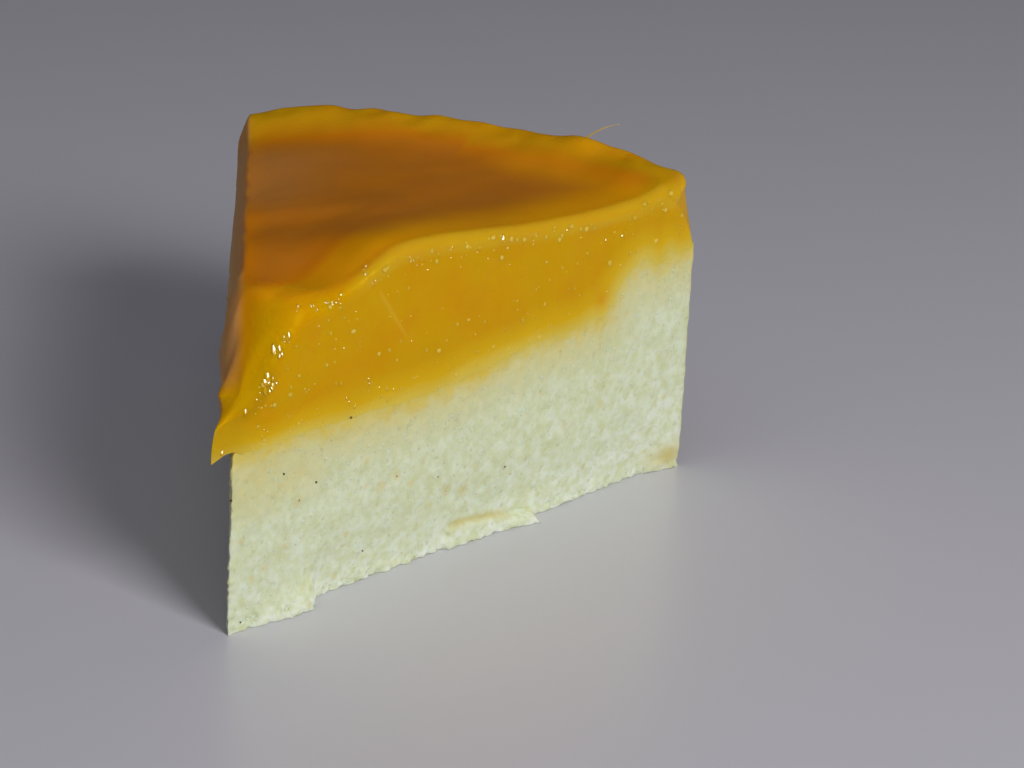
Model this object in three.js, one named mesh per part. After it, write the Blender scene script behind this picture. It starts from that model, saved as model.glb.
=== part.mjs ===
// A slice of semolina cake, cut as a wedge from a round cake. The pale crumb base was baked with a
// sunken middle and a raised rim. A thick layer of golden fruit curd fills the hollow, covers the
// rim, slopes down to the tip and hangs a little past it, where the knife dragged it.
//
// Millimetres, +Z up. The slice stands on Z = 0, its tip points to -Y and its outer wall to +Y.
// The origin lies on the base, half way from the tip to the wall.

import * as THREE from 'three';
import { ImprovedNoise } from 'three/addons/math/ImprovedNoise.js';
import { mergeVertices } from 'three/addons/utils/BufferGeometryUtils.js';

const { clamp, degToRad, lerp, radToDeg, smoothstep } = THREE.MathUtils;

// The wedge: an 18 cm round cake, cut into seven.
const CAKE_RADIUS = 90;
const HALF_ANGLE = degToRad(25.5);
const TIP_Y = -CAKE_RADIUS / 2;
const LAYER_GAP = 0.35;

// Outer wall: it stands a little inside the tin's radius and is rounded off at the foot.
const WALL_INSET = 0.6;
const FOOT_ROUND = { inset: 0.6, height: 4 };
const WALL_ZONE = { from: 80, to: CAKE_RADIUS };

// Dished top of the base: a flat floor, then three rises that follow each other from tip to wall.
const DISH_FLOOR = 27;
const DISH_RISES = [
  { from: 35, to: 66, height: 2.6 },
  { from: 64, to: 79, height: 6.6 },
  { from: 79, to: CAKE_RADIUS, height: 0.6 },
];
const DISH_WAVE = { height: 0.5, length: 20, from: 5, to: 20, seed: 0.5 };

// Relief of the cut crumb. The right cut face leans in at its foot, where a crumb near the tip and a
// flake of the crust further back are torn loose and stand proud of it.
const CRUMB = { height: 0.22, length: 4, rightSeed: 3.5, leftSeed: 7.5 };
const CRUMB_ZONE = 0.9 * HALF_ANGLE;
const FOOT_LEAN = { inset: 1.35, height: 14, from: 12, full: 18, fade: 81, to: 88 };
const TORN_FOOT = [
  { from: 4, to: 15.6, flat: 0.5, height: 5.5, startProud: 0.4, endProud: 1.9, bend: 1 },
  { from: 40, to: 59.5, flat: 2, height: 3.5, startProud: 0.7, endProud: 2.8, bend: 3 },
];
const TORN_EDGE = 1.5;

// Top of the curd: its level, the sloped front over the tip, the folds that cross it and the rim.
const CURD_LEVEL = 46;
const FRONT_SLOPE = { foot: 31.5, rise: 1.3, soften: 1.2 };
const FRONT_LIP = { at: 12.5, width: 5, leftHeight: 1, rightHeight: 0.3 };
const FRONT_LIP_ZONE = { left: degToRad(-15), right: degToRad(5) };
const FOLD = { at: 31.5, near: 9, far: 20, height: 1.1, lipHeight: 2.6, level: 0.8, soften: 0.15 };
const BACK_FOLD = { at: 47.5, skew: 0.3, near: 4, far: 13, height: 0.7, end: degToRad(8) };
const RIGHT_LIP = { height: 0.8, level: 5, reach: 22, from: 17, full: 31, fade: 80, to: 89 };
const RIM_RISE = { height: 2.4, width: 14 };
const RIM_BUMP = { at: degToRad(11.5), width: degToRad(3), height: 1.2 };
const LEFT_SAG = { angle: degToRad(15), height: 1.4, from: 60, to: 85 };
const TOP_WAVE = { height: 0.35, length: 16, seed: 0.7 };

// Edges of the curd: rounded along the cuts and the wall, most at the two outer corners. Along the top
// of the left cut a strip is chipped off.
const CUT_ROUND = { radius: 2, from: 0, to: 12 };
const LEFT_CHIP = { width: 1.5, depth: 3, from: 2, to: 7 };
const WALL_ROUND = 2;
const CORNER_ROUND = 3.5;

// Sides of the curd: it bulges over the left cut face, is lumpy, and slides past the tip in a drip.
const CURD_ZONE = 0.8 * HALF_ANGLE;
const LEFT_BULGE = 1.2;
const LUMP = { height: 0.45, length: 6, leftSeed: 1.5, rightSeed: 5.5, wallSeed: 9.5 };
const RIGHT_LUMP_SHARE = 0.5;
const DRIP = { drop: 0.9, reach: 1 };
const SLIDE = { foot: 3.3, top: 2.75, footReach: 9, topReach: 3, footPower: 2, topPower: 1.2 };

// Mesh lattice: rings round the tip, drawn together towards the tip and the wall, and rows up a side.
const RINGS = 40;
const RING_CROWDING = 0.45;
const EDGE_CROWDING = 0.3;
const BASE_ROWS = 9;
const BASE_ROW_CROWDING = 1.5;
const CURD_ROWS = 9;
const CURD_ROW_CROWDING = 1;

const noise = new ImprovedNoise();

/** A smooth hump: 1 at x = 0, fading to nothing about two widths away. */
function hump(x, width) {
  return Math.exp(-((x / width) ** 2));
}

/** Gentle unevenness of a surface, by two lengths along it; each surface has its own seed. */
function ripple(shape, along, across, seed) {
  return shape.height * noise.noise(along / shape.length, across / shape.length, seed);
}

/** The lower of two values, with their meeting softened. */
function softLower(a, b, soften) {
  return (a + b - Math.hypot(a - b, soften)) / 2;
}

/** Distance of a point at (r, angle) from the nearer cut face. */
function distanceToCut(r, angle) {
  return r * Math.sin(HALF_ANGLE - Math.abs(angle));
}

/** How far a quarter-round edge of this radius lies below the full height, at a distance inside it. */
function roundedDrop(distance, radius) {
  const inside = radius > 0 ? Math.max(0, 1 - distance / radius) : 0;
  return radius * (1 - Math.sqrt(1 - inside ** 2));
}

/** 1 on the outer wall, fading to 0 well inside it. */
function wallShare(r) {
  return smoothstep(r, WALL_ZONE.from, WALL_ZONE.to);
}

/** A point of the wedge, pushed out of the cut face on its own side of the middle by `proud`. */
function wedgePoint(r, angle, z, proud) {
  const x = r * Math.sin(angle) + Math.sign(angle) * proud * Math.cos(HALF_ANGLE);
  const y = TIP_Y + r * Math.cos(angle) - proud * Math.sin(HALF_ANGLE);
  return new THREE.Vector3(x, y, z);
}

/** Height of the dished top of the base. */
function dishHeight(r, angle) {
  const rises = DISH_RISES.map((rise) => rise.height * smoothstep(r, rise.from, rise.to));
  const wave = ripple(DISH_WAVE, r, r * angle, DISH_WAVE.seed) * smoothstep(r, DISH_WAVE.from, DISH_WAVE.to);
  return rises.reduce((sum, height) => sum + height, DISH_FLOOR + wave);
}

/** 1 where r lies well inside a stretch that comes in from one distance to another and goes out again. */
function stretch(r, from, full, fade, to) {
  return smoothstep(r, from, full) * (1 - smoothstep(r, fade, to));
}

/** How far the right cut face stands proud at its foot, or leans in there where it is less than 0. */
function tornFoot(r, z) {
  const along = stretch(r, FOOT_LEAN.from, FOOT_LEAN.full, FOOT_LEAN.fade, FOOT_LEAN.to);
  const lean = -FOOT_LEAN.inset * along * (1 - smoothstep(z, 0, FOOT_LEAN.height));
  return TORN_FOOT.reduce((sum, torn) => {
    const inside = stretch(r, torn.from, torn.from + TORN_EDGE, torn.to - TORN_EDGE, torn.to);
    const share = clamp((r - torn.from) / (torn.to - torn.from), 0, 1) ** torn.bend;
    const proud = lerp(torn.startProud, torn.endProud, share);
    return sum + proud * inside * (1 - smoothstep(z, torn.flat, torn.height));
  }, lean);
}

/** A point of the crumb base; h runs from 0 on the base to 1 on its dished top. */
function basePoint(r, angle, h) {
  const z = h * dishHeight(r, angle);
  const onCut = smoothstep(Math.abs(angle), CRUMB_ZONE, HALF_ANGLE);
  const grain = ripple(CRUMB, r, z, angle > 0 ? CRUMB.rightSeed : CRUMB.leftSeed);
  const torn = angle > 0 ? tornFoot(r, z) : 0;
  const inset = WALL_INSET + FOOT_ROUND.inset * (1 - smoothstep(z, 0, FOOT_ROUND.height));
  return wedgePoint(r - inset * wallShare(r), angle, z, onCut * (grain + torn));
}

/** Height of the curd's top before its edges are rounded. */
function curdTop(r, angle) {
  const fromTip = r * Math.cos(angle);
  const toRight = smoothstep(angle, FRONT_LIP_ZONE.left, FRONT_LIP_ZONE.right);
  const lipHeight = lerp(FRONT_LIP.leftHeight, FRONT_LIP.rightHeight, toRight);
  const lip = lipHeight * hump(fromTip - FRONT_LIP.at, FRONT_LIP.width);
  const foldShape = hump(r - FOLD.at, r < FOLD.at ? FOLD.near : FOLD.far);
  const across = Math.max(0, 0.5 + angle / (2 * HALF_ANGLE));
  const shoulder = softLower((across / FOLD.level) ** 2, 1, FOLD.soften);
  const fold = (FOLD.height + FOLD.lipHeight * shoulder) * foldShape;
  const backLine = r - BACK_FOLD.at - BACK_FOLD.skew * radToDeg(angle);
  const backShape = hump(backLine, backLine < 0 ? BACK_FOLD.near : BACK_FOLD.far);
  const back = BACK_FOLD.height * backShape * (1 - smoothstep(angle, 0, BACK_FOLD.end));
  const fromRight = r * Math.sin(HALF_ANGLE - angle);
  const rightEdge = 1 - smoothstep(fromRight, RIGHT_LIP.level, RIGHT_LIP.reach);
  const along = stretch(r, RIGHT_LIP.from, RIGHT_LIP.full, RIGHT_LIP.fade, RIGHT_LIP.to);
  const rightLip = RIGHT_LIP.height * rightEdge * along;
  const rimHeight = RIM_RISE.height + RIM_BUMP.height * hump(angle - RIM_BUMP.at, RIM_BUMP.width);
  const rim = rimHeight * smoothstep(r, CAKE_RADIUS - RIM_RISE.width, CAKE_RADIUS);
  const leftShare = smoothstep(-angle, LEFT_SAG.angle, HALF_ANGLE);
  const sag = LEFT_SAG.height * leftShare * smoothstep(r, LEFT_SAG.from, LEFT_SAG.to);
  const wave = ripple(TOP_WAVE, r, r * angle, TOP_WAVE.seed);
  const level = CURD_LEVEL + lip + fold + back + rightLip + rim - sag + wave;
  return softLower(level, FRONT_SLOPE.foot + FRONT_SLOPE.rise * fromTip, FRONT_SLOPE.soften);
}

/** Height of the curd's top with its edges rounded off along the cuts and the wall. */
function roundedCurdTop(r, angle) {
  const cutRadius = CUT_ROUND.radius * smoothstep(r, CUT_ROUND.from, CUT_ROUND.to);
  const cutDrop = roundedDrop(distanceToCut(r, angle), cutRadius);
  const wallDrop = roundedDrop(CAKE_RADIUS - r, WALL_ROUND);
  const fromLeft = r * Math.sin(HALF_ANGLE + angle);
  const chip = LEFT_CHIP.depth * smoothstep(r, LEFT_CHIP.from, LEFT_CHIP.to);
  const chipDrop = chip * Math.max(0, 1 - fromLeft / LEFT_CHIP.width);
  return curdTop(r, angle) - Math.max(cutDrop, wallDrop, chipDrop);
}

/** A point of the curd layer; h runs from 0 on the dish to 1 on its glossy top. */
function curdPoint(r, angle, h) {
  const drip = DRIP.drop * Math.max(0, 1 - r / DRIP.reach);
  const bottom = dishHeight(r, angle) + LAYER_GAP - drip;
  const z = bottom + h * (roundedCurdTop(r, angle) - bottom);

  const belly = Math.sin(Math.PI * h);
  const onCut = smoothstep(Math.abs(angle), CURD_ZONE, HALF_ANGLE);
  const leftProud = LEFT_BULGE * (1 - r / CAKE_RADIUS) + ripple(LUMP, r, z, LUMP.leftSeed);
  const rightProud = RIGHT_LUMP_SHARE * ripple(LUMP, r, z, LUMP.rightSeed);
  const proud = onCut * belly * (angle < 0 ? leftProud : rightProud);

  const wallLump = belly * ripple(LUMP, r * angle, z, LUMP.wallSeed);
  const corner = h ** 2 * roundedDrop(distanceToCut(r, angle), CORNER_ROUND);
  const point = wedgePoint(r + (wallLump - corner - WALL_INSET) * wallShare(r), angle, z, proud);

  const reach = lerp(SLIDE.footReach, SLIDE.topReach, h);
  const nearTip = Math.max(0, 1 - r / reach) ** lerp(SLIDE.footPower, SLIDE.topPower, h);
  const slide = lerp(SLIDE.foot, SLIDE.top, h ** 2) * nearTip;
  point.x -= slide * Math.sin(HALF_ANGLE);
  point.y -= slide * Math.cos(HALF_ANGLE);
  return point;
}

/** Distance from the tip and angle of lattice point `step` on a ring; ring 0 is the tip itself. */
function latticePlace(ring, step) {
  const u = ring / RINGS;
  const r = CAKE_RADIUS * (u - (RING_CROWDING * Math.sin(2 * Math.PI * u)) / (2 * Math.PI));
  const across = ring === 0 ? 0 : (2 * step) / ring - 1;
  const eased = across * (1 + EDGE_CROWDING * (1 - across ** 2));
  return { r, angle: HALF_ANGLE * eased };
}

/** Adds a grid of quads, seen from outside with columns to the right and rows upwards. */
function addPanel(soup, columns, rows, corner) {
  for (let column = 0; column < columns; column += 1) {
    for (let row = 0; row < rows; row += 1) {
      const low = [corner(column, row), corner(column + 1, row)];
      const high = [corner(column, row + 1), corner(column + 1, row + 1)];
      soup.push(low[0], low[1], high[1], low[0], high[1], high[0]);
    }
  }
}

/** Adds the upper side of the lattice, or with `down` the lower one, turned over. */
function addLattice(soup, corner, down) {
  for (let ring = 1; ring <= RINGS; ring += 1) {
    for (let step = 0; step < ring; step += 1) {
      const inner = corner(ring - 1, step);
      const outer = [corner(ring, step), corner(ring, step + 1)];
      soup.push(inner, outer[down ? 0 : 1], outer[down ? 1 : 0]);
      if (step < ring - 1) {
        const next = corner(ring - 1, step + 1);
        soup.push(inner, down ? outer[1] : next, down ? next : outer[1]);
      }
    }
  }
}

/** Adds one flat face, facing down, inside the lowest edge of the sides. */
function addFlatBase(soup, corner) {
  const edge = [];
  for (let ring = 0; ring < RINGS; ring += 1) edge.push(corner(ring, ring));
  for (let step = RINGS; step > 0; step -= 1) edge.push(corner(RINGS, step));
  for (let ring = RINGS; ring > 0; ring -= 1) edge.push(corner(ring, 0));
  const outline = edge.map((point) => new THREE.Vector2(point.x, point.y));
  for (const [a, b, c] of THREE.ShapeUtils.triangulateShape(outline, [])) {
    soup.push(edge[a], edge[c], edge[b]);
  }
}

/** A closed layer of the wedge: both cut faces, the outer wall, the top and the underside. */
function layerGeometry(pointAt, rows, rowCrowding, flatBase) {
  const lattice = (ring, step, row) => {
    const { r, angle } = latticePlace(ring, step);
    return pointAt(r, angle, (row / rows) ** rowCrowding);
  };
  const under = (ring, step) => lattice(ring, step, 0);
  const soup = [];
  addPanel(soup, RINGS, rows, (column, row) => lattice(column, column, row));
  addPanel(soup, RINGS, rows, (column, row) => lattice(RINGS - column, 0, row));
  addPanel(soup, RINGS, rows, (column, row) => lattice(RINGS, RINGS - column, row));
  addLattice(soup, (ring, step) => lattice(ring, step, rows), false);
  if (flatBase) addFlatBase(soup, under);
  else addLattice(soup, under, true);

  const geometry = mergeVertices(new THREE.BufferGeometry().setFromPoints(soup));
  geometry.computeVertexNormals();
  return geometry;
}

const crumb = new THREE.MeshStandardMaterial({ color: 0xe9e7c6, roughness: 0.92, metalness: 0 });
const glossyCurd = new THREE.MeshStandardMaterial({ color: 0xf0ae12, roughness: 0.22, metalness: 0 });

const base = new THREE.Mesh(layerGeometry(basePoint, BASE_ROWS, BASE_ROW_CROWDING, true), crumb);
base.name = 'semolina_base';

const curd = new THREE.Mesh(layerGeometry(curdPoint, CURD_ROWS, CURD_ROW_CROWDING, false), glossyCurd);
curd.name = 'curd_topping';

const slice = new THREE.Group();
slice.add(base, curd);

export default slice;
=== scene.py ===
# %% [markdown]
# # A slice of semolina cake
#
# This lesson dresses one slice of cake: a pale, grainy wedge of semolina crumb under a thick layer of
# golden fruit curd. The frame holds two plain solids of the right size, and the script gives them their
# looks: crumb, gloss, grains and specks. Blender works in metres. The sizes below are in millimetres,
# and they are turned into metres when a mesh is made.

import itertools
import math
from types import SimpleNamespace as Sizes

import bpy
import numpy as np
from mathutils import Matrix, Vector


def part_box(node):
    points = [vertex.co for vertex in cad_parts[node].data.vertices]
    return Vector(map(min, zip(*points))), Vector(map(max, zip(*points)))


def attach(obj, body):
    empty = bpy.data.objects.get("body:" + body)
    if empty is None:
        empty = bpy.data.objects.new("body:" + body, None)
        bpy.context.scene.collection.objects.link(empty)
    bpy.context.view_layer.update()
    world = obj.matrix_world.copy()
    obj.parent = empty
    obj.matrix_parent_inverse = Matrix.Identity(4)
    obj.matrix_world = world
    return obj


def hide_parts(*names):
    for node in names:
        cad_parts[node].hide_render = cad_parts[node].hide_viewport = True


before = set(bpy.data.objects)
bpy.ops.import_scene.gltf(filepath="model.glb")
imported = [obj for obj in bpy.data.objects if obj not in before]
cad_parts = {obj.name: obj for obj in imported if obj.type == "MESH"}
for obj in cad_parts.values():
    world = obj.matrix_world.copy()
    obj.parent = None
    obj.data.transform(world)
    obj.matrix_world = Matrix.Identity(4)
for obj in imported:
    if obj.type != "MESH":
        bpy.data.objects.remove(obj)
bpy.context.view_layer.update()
scene = bpy.context.scene
MM = 0.001


def new_object(name, data):
    """A new object with this data, linked into the scene."""
    made_object = bpy.data.objects.new(name, data)
    scene.collection.objects.link(made_object)
    return made_object


# %% [markdown]
# ## The camera
#
# The slice is seen from its tip and a little from the right, looking down by about 24 degrees, through
# a long lens, so the cut faces hardly narrow towards the back. A camera in Blender looks along its own
# -Z axis. Turning it up from the floor, then round the upright axis, and rolling it last, keeps each
# of the three angles readable.

# %% Camera
CAMERA_PLACE = Vector((158.1, -360.7, 193.4)) * MM
CAMERA_HEADING = math.radians(20.53)
CAMERA_DROP = math.radians(23.64)
CAMERA_ROLL = math.radians(2.56)
CAMERA_LENS = 101.95

camera_data = bpy.data.cameras.new("photo_camera")
camera_data.sensor_width = 36
camera_data.lens = CAMERA_LENS
camera_data.clip_start = 0.01
camera = new_object("photo_camera", camera_data)
camera.matrix_world = (
    Matrix.Translation(CAMERA_PLACE)
    @ Matrix.Rotation(CAMERA_HEADING, 4, "Z")
    @ Matrix.Rotation(math.pi / 2 - CAMERA_DROP, 4, "X")
    @ Matrix.Rotation(CAMERA_ROLL, 4, "Z")
)
scene.camera = camera
print("camera", round(CAMERA_PLACE.length / MM), "mm from the origin, lens", CAMERA_LENS, "mm")

# %% [markdown]
# ## Light
#
# Daylight comes from low on the right, so the right cut face is the brightest side. One area light
# stands for it: small enough to show as white glints on wet curd, and large enough for a soft shadow. A
# dim light from above fills the rest. The surroundings are dark near the horizon, so the glossy top
# mirrors little and stays orange. The Standard view transform keeps the yellows saturated.

# %% Lights and surroundings
SLICE_MIDDLE = Vector((0, 0, 25)) * MM


def area_light(name, towards, distance, size, power, colour):
    """A square area light, `distance` metres from the slice in the direction `towards`, facing it."""
    data = bpy.data.lights.new(name, "AREA")
    data.size = size
    data.energy = power
    data.color = colour
    light = new_object(name, data)
    away = Vector(towards).normalized()
    light.location = SLICE_MIDDLE + distance * away
    light.rotation_euler = away.to_track_quat("Z", "Y").to_euler()


LIGHT_SIDE = Vector((0.80, -0.46, 0.58)).normalized()
FILL_SIDE = (0.0, -0.45, 0.9)
DAYLIGHT = (1.0, 0.985, 0.97)
SKYLIGHT = (0.97, 0.97, 1.0)
DARK_AROUND = Sizes(height=0.55, tone=(0.020, 0.018, 0.017))
PALE_ABOVE = Sizes(height=0.85, tone=(0.16, 0.16, 0.18))
area_light("daylight", LIGHT_SIDE, distance=0.9, size=0.34, power=5.0, colour=DAYLIGHT)
area_light("top_fill", FILL_SIDE, distance=1.1, size=0.9, power=1.3, colour=SKYLIGHT)

world = bpy.data.worlds.new("soft_surroundings")
world.use_nodes = True
scene.world = world
world_nodes, world_links = world.node_tree.nodes, world.node_tree.links
direction = world_nodes.new("ShaderNodeTexCoord")
height_of = world_nodes.new("ShaderNodeSeparateXYZ")
world_tones = world_nodes.new("ShaderNodeValToRGB")
for mark, part in zip(world_tones.color_ramp.elements, (DARK_AROUND, PALE_ABOVE)):
    mark.position = part.height
    mark.color = (*part.tone, 1)
world_links.new(direction.outputs["Generated"], height_of.inputs[0])
world_links.new(height_of.outputs["Z"], world_tones.inputs[0])
world_links.new(world_tones.outputs[0], world_nodes["Background"].inputs["Color"])
scene.view_settings.view_transform = "Standard"

# %% [markdown]
# ## Finishes are made of a few nodes
#
# Every material is a Principled shader whose colour is built up in layers: start from one colour and lay
# the next one over it, by as much as a pattern says. A pattern is a noise on Object coordinates, which
# runs through the food like crumb does, or an attribute that the mesh carries for each of its points.

# %% Material helpers


def feed(material, socket, value):
    """Links a socket to another node's output, or sets it to a plain number, vector or colour."""
    if isinstance(value, bpy.types.NodeSocket):
        material.node_tree.links.new(value, socket)
    else:
        socket.default_value = (*value, 1) if socket.type == "RGBA" else value


def new_finish(name, roughness, settings=None):
    """A material with one Principled shader, its roughness and other inputs set, and these inputs."""
    material = bpy.data.materials.new(name)
    material.use_nodes = True
    inputs = material.node_tree.nodes["Principled BSDF"].inputs
    for label, value in {"Roughness": roughness, **(settings or {})}.items():
        feed(material, inputs[label], value)
    return material, inputs


def new_node(material, kind, inputs):
    """A new shader node of this kind, with its inputs linked or set."""
    node = material.node_tree.nodes.new("ShaderNode" + kind)
    for label, value in inputs.items():
        feed(material, node.inputs[label], value)
    return node


def laid_over(material, share, under, over):
    """The colour `under` with the colour `over` laid on it, by a share from 0 to 1."""
    node = new_node(material, "Mix", {0: share})
    node.data_type = "RGBA"
    feed(material, node.inputs[6], under)
    feed(material, node.inputs[7], over)
    return node.outputs[2]


def point_value(material, name):
    """The number that the mesh carries under this name at each of its points."""
    node = new_node(material, "Attribute", {})
    node.attribute_name = name
    return node.outputs["Fac"]


def mottling(material, size_mm, detail=2):
    """Cloudy noise on Object coordinates, with clouds of about this size, from 0 to 1."""
    place = new_node(material, "TexCoord", {}).outputs["Object"]
    settings = {"Vector": place, "Scale": 1 / (size_mm * MM), "Detail": detail}
    return new_node(material, "TexNoise", settings).outputs["Fac"]


def between(material, value, low, high, to_low=0.0, to_high=1.0):
    """Stretches a value so that low becomes to_low and high becomes to_high, clipped at both ends."""
    ends = {"From Min": low, "From Max": high, "To Min": to_low, "To Max": to_high}
    return new_node(material, "MapRange", {"Value": value, **ends}).outputs["Result"]


def tinted(material, colour, name, tint, share=1.0, span=(0.0, 1.0)):
    """A colour with a tint laid over it, up to a share, as the point value goes through a span."""
    strength = between(material, point_value(material, name), *span, 0.0, share)
    return laid_over(material, strength, colour, tint)


def fine_bump(material, inputs, height, depth_mm, strength=1.0):
    """Tilts the shading by a height pattern that is `depth_mm` deep."""
    bump = new_node(material, "Bump", {"Strength": strength, "Distance": depth_mm * MM, "Height": height})
    feed(material, inputs["Normal"], bump.outputs["Normal"])


print("material helpers ready")

# %% [markdown]
# ## The floor
#
# A plain pale floor, large enough that its edge stays out of every view. It isn't part of the cake, so
# it is not attached to the cake's body. A little gloss lets the slice mirror faintly in it.

# %% Floor
FLOOR_REACH = 6.0
FLOOR_GREY = (0.65, 0.645, 0.71)

floor_mesh = bpy.data.meshes.new("floor")
floor_corners = FLOOR_REACH * np.array([[-1, -1, 0], [1, -1, 0], [1, 1, 0], [-1, 1, 0]])
floor_mesh.from_pydata(floor_corners.tolist(), [], [[0, 1, 2, 3]])
floor = new_object("floor", floor_mesh)
pale_floor, floor_inputs = new_finish("pale_floor", 0.32)
feed(pale_floor, floor_inputs["Base Color"], FLOOR_GREY)
floor_mesh.materials.append(pale_floor)
print("floor", 2 * FLOOR_REACH, "m wide")

# %% [markdown]
# ## The wedge
#
# The slice is a seventh of a round cake. All its shapes are easiest to give by the distance from the
# tip and the angle from the middle line, positive to the right. The radius comes from the frame: the
# origin lies half way from the tip to the wall. Two gentle curves do most of the shaping: an S-bend
# that goes from 0 to 1 or back again, and a bell-shaped hump.

# %% Wedge sizes and curves
TIP_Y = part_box("semolina_base")[0].y / MM
CAKE_RADIUS = -2 * TIP_Y
HALF_ANGLE = math.radians(25.5)
WALL_INSET = 0.6
WALL_ZONE = 10
ALONG_RIGHT = np.array([math.sin(HALF_ANGLE), math.cos(HALF_ANGLE)])


def rise(x, low, high):
    """0 below low, 1 above high, and an S-bend 3t^2 - 2t^3 between them; it falls if low is above high."""
    t = np.clip((x - low) / (high - low), 0, 1)
    return t * t * (3 - 2 * t)


def fall(x, low, high):
    """1 below low, 0 above high, with the same S-bend upside down between them."""
    return 1 - rise(x, low, high)


def window(x, low, high, *end):
    """An S-bend from 0 at low to 1 at high and, if two more places are given, back to 0 over those."""
    return rise(x, low, high) * (fall(x, *end) if end else 1)


def mix(a, b, share):
    """The value that lies a share of the way from a to b."""
    return a + (b - a) * share


def hump(x, width):
    """A bell: 1 at x = 0, falling to almost nothing two widths away."""
    return np.exp(-((x / width) ** 2))


def joined(*parts):
    """Parts side by side along a new last axis, such as x, y and z as points."""
    return np.stack(np.broadcast_arrays(*parts), axis=-1)


def plan_point(r, angle):
    """Plan place of a distance r from the tip and an angle from the middle line."""
    return joined(r * np.sin(angle), TIP_Y + r * np.cos(angle))


def polar(plan):
    """Distance from the tip and angle from the middle line of plan places."""
    out = plan[..., 1] - TIP_Y
    return np.hypot(plan[..., 0], out), np.arctan2(plan[..., 0], out)


def on_plan(r, angle):
    """Places for unevenness on top: distance from the tip, and the way round from the middle line."""
    return joined(r, r * angle, 0.0)


def from_right_cut(r, angle):
    """Distance from the right cut face: r times the sine of the angle left to it."""
    return r * np.sin(np.maximum(0, HALF_ANGLE - angle))


def rounded_drop(distance, width, depth):
    """How far a rounded edge lies below the full height: a quarter ellipse, by the distance inside it."""
    inside = np.clip(1 - distance / np.maximum(width, 1e-6), 0, 1)
    return depth * (1 - np.sqrt(1 - inside**2))


def wall_share(r):
    """1 on the outer wall, fading to 0 well inside it."""
    return rise(r, CAKE_RADIUS - WALL_ZONE, CAKE_RADIUS)


print("tip at y =", TIP_Y, "mm, radius", CAKE_RADIUS, "mm")

# %% [markdown]
# ## Unevenness in space
#
# Crumb looks the same in every direction, so its relief is worked out from points in space. A lattice
# cell gets a fixed random number from its own place, so a run always gives the same cake. Blending the
# numbers at a cell's corners gives soft waves. A ball at a random place in some cells gives pores.

# %% Noise helpers
CELL_CORNERS = np.array(list(itertools.product((0, 1), repeat=3)))
CELL_NEIGHBOURS = np.array(list(itertools.product((-1, 0, 1), repeat=3)))
PLACE_PRIMES = np.array([73856093, 19349663, 83492791])
SEED_PRIME = 15485863
MIXING = ((13, 1274126177), (15, 668265263))
WORD = 0xFFFFFFFF
HALF_WORD = 0xFFFF


def cell_number(cells, seed):
    """A fixed random number from 0 to 1 for each lattice cell, mixed from its place and a seed."""
    mixed = (cells * PLACE_PRIMES).sum(axis=-1) + seed * SEED_PRIME
    for shift, factor in MIXING:
        mixed = ((mixed ^ (mixed >> shift)) * factor) & WORD
    return ((mixed ^ (mixed >> 16)) & HALF_WORD) / HALF_WORD


def uneven(points, length, seed):
    """Soft waves from -1 to 1: random numbers at lattice corners, blended by S-bends inside a cell."""
    scaled = points / length
    cells = np.floor(scaled).astype(np.int64)
    part = scaled - cells
    part = part * part * (3 - 2 * part)
    total = np.zeros(points.shape[:-1])
    for corner in CELL_CORNERS:
        weight = np.prod(np.where(corner, part, 1 - part), axis=-1)
        total += weight * cell_number(cells + corner, seed)
    return 2 * total - 1


def waves(points, *layers):
    """Unevenness in layers, each with its height, its length and its seed, added up."""
    return sum(height * uneven(points, length, seed) for height, length, seed in layers)


def wander(points, length, seed):
    """A random way for each point, with three uneven parts from -1 to 1."""
    return joined(*[uneven(points, length, seed + axis) for axis in range(3)])


def spots(points, spacing, share, radii, seed):
    """Round spots: 1 at the centre of a ball, falling to 0 at its rim, in a share of the cells."""
    scaled = points / spacing
    cells = np.floor(scaled).astype(np.int64)
    strongest = np.zeros(points.shape[:-1])
    for step in CELL_NEIGHBOURS:
        near = cells + step
        centre = near + joined(*[cell_number(near, seed + axis) for axis in range(3)])
        radius = mix(*radii, cell_number(near, seed + 3))
        gap = np.linalg.norm(scaled - centre, axis=-1) * spacing / radius
        chosen = cell_number(near, seed + 4) < share
        strongest = np.maximum(strongest, np.where(chosen, 1 - gap**2, 0))
    return strongest


probe = np.random.default_rng(1).uniform(-40, 40, (2000, 3))
print("waves reach", uneven(probe, 4, 1).min().round(2), "to", uneven(probe, 4, 1).max().round(2))

# %% [markdown]
# ## One skin from rings
#
# Crumb and curd are both made the same way: rings that follow the outline of the wedge, stacked from
# the middle of the underside, out to the edge, up the sides and in to the middle of the top. Each ring
# is a row of a numpy array, and quads join it to the next one. So the mesh is closed, its faces point
# outwards, and any formula can be used on all of its points at once.

# %% Outline and skin
RIGHT_STEPS, WALL_STEPS, LEFT_STEPS = 390, 120, 220
TIP_CROWDING = 1.2
MIDDLE = np.array([0.0, 13.0])
MIDDLE_TO_CUT = (MIDDLE[1] - TIP_Y) * math.sin(HALF_ANGLE)

edge_r = np.concatenate([
    CAKE_RADIUS * np.linspace(0, 1, RIGHT_STEPS, endpoint=False) ** TIP_CROWDING,
    np.full(WALL_STEPS, CAKE_RADIUS),
    CAKE_RADIUS * np.linspace(1, 0, LEFT_STEPS, endpoint=False) ** TIP_CROWDING,
])
edge_angle = np.concatenate([
    np.full(RIGHT_STEPS, HALF_ANGLE),
    np.linspace(HALF_ANGLE, -HALF_ANGLE, WALL_STEPS, endpoint=False),
    np.full(LEFT_STEPS, -HALF_ANGLE),
])
EDGE_POINTS = len(edge_r)
on_right = np.arange(EDGE_POINTS) < RIGHT_STEPS
on_wall = ~on_right & (np.arange(EDGE_POINTS) < RIGHT_STEPS + WALL_STEPS)
on_left = ~on_right & ~on_wall


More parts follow.
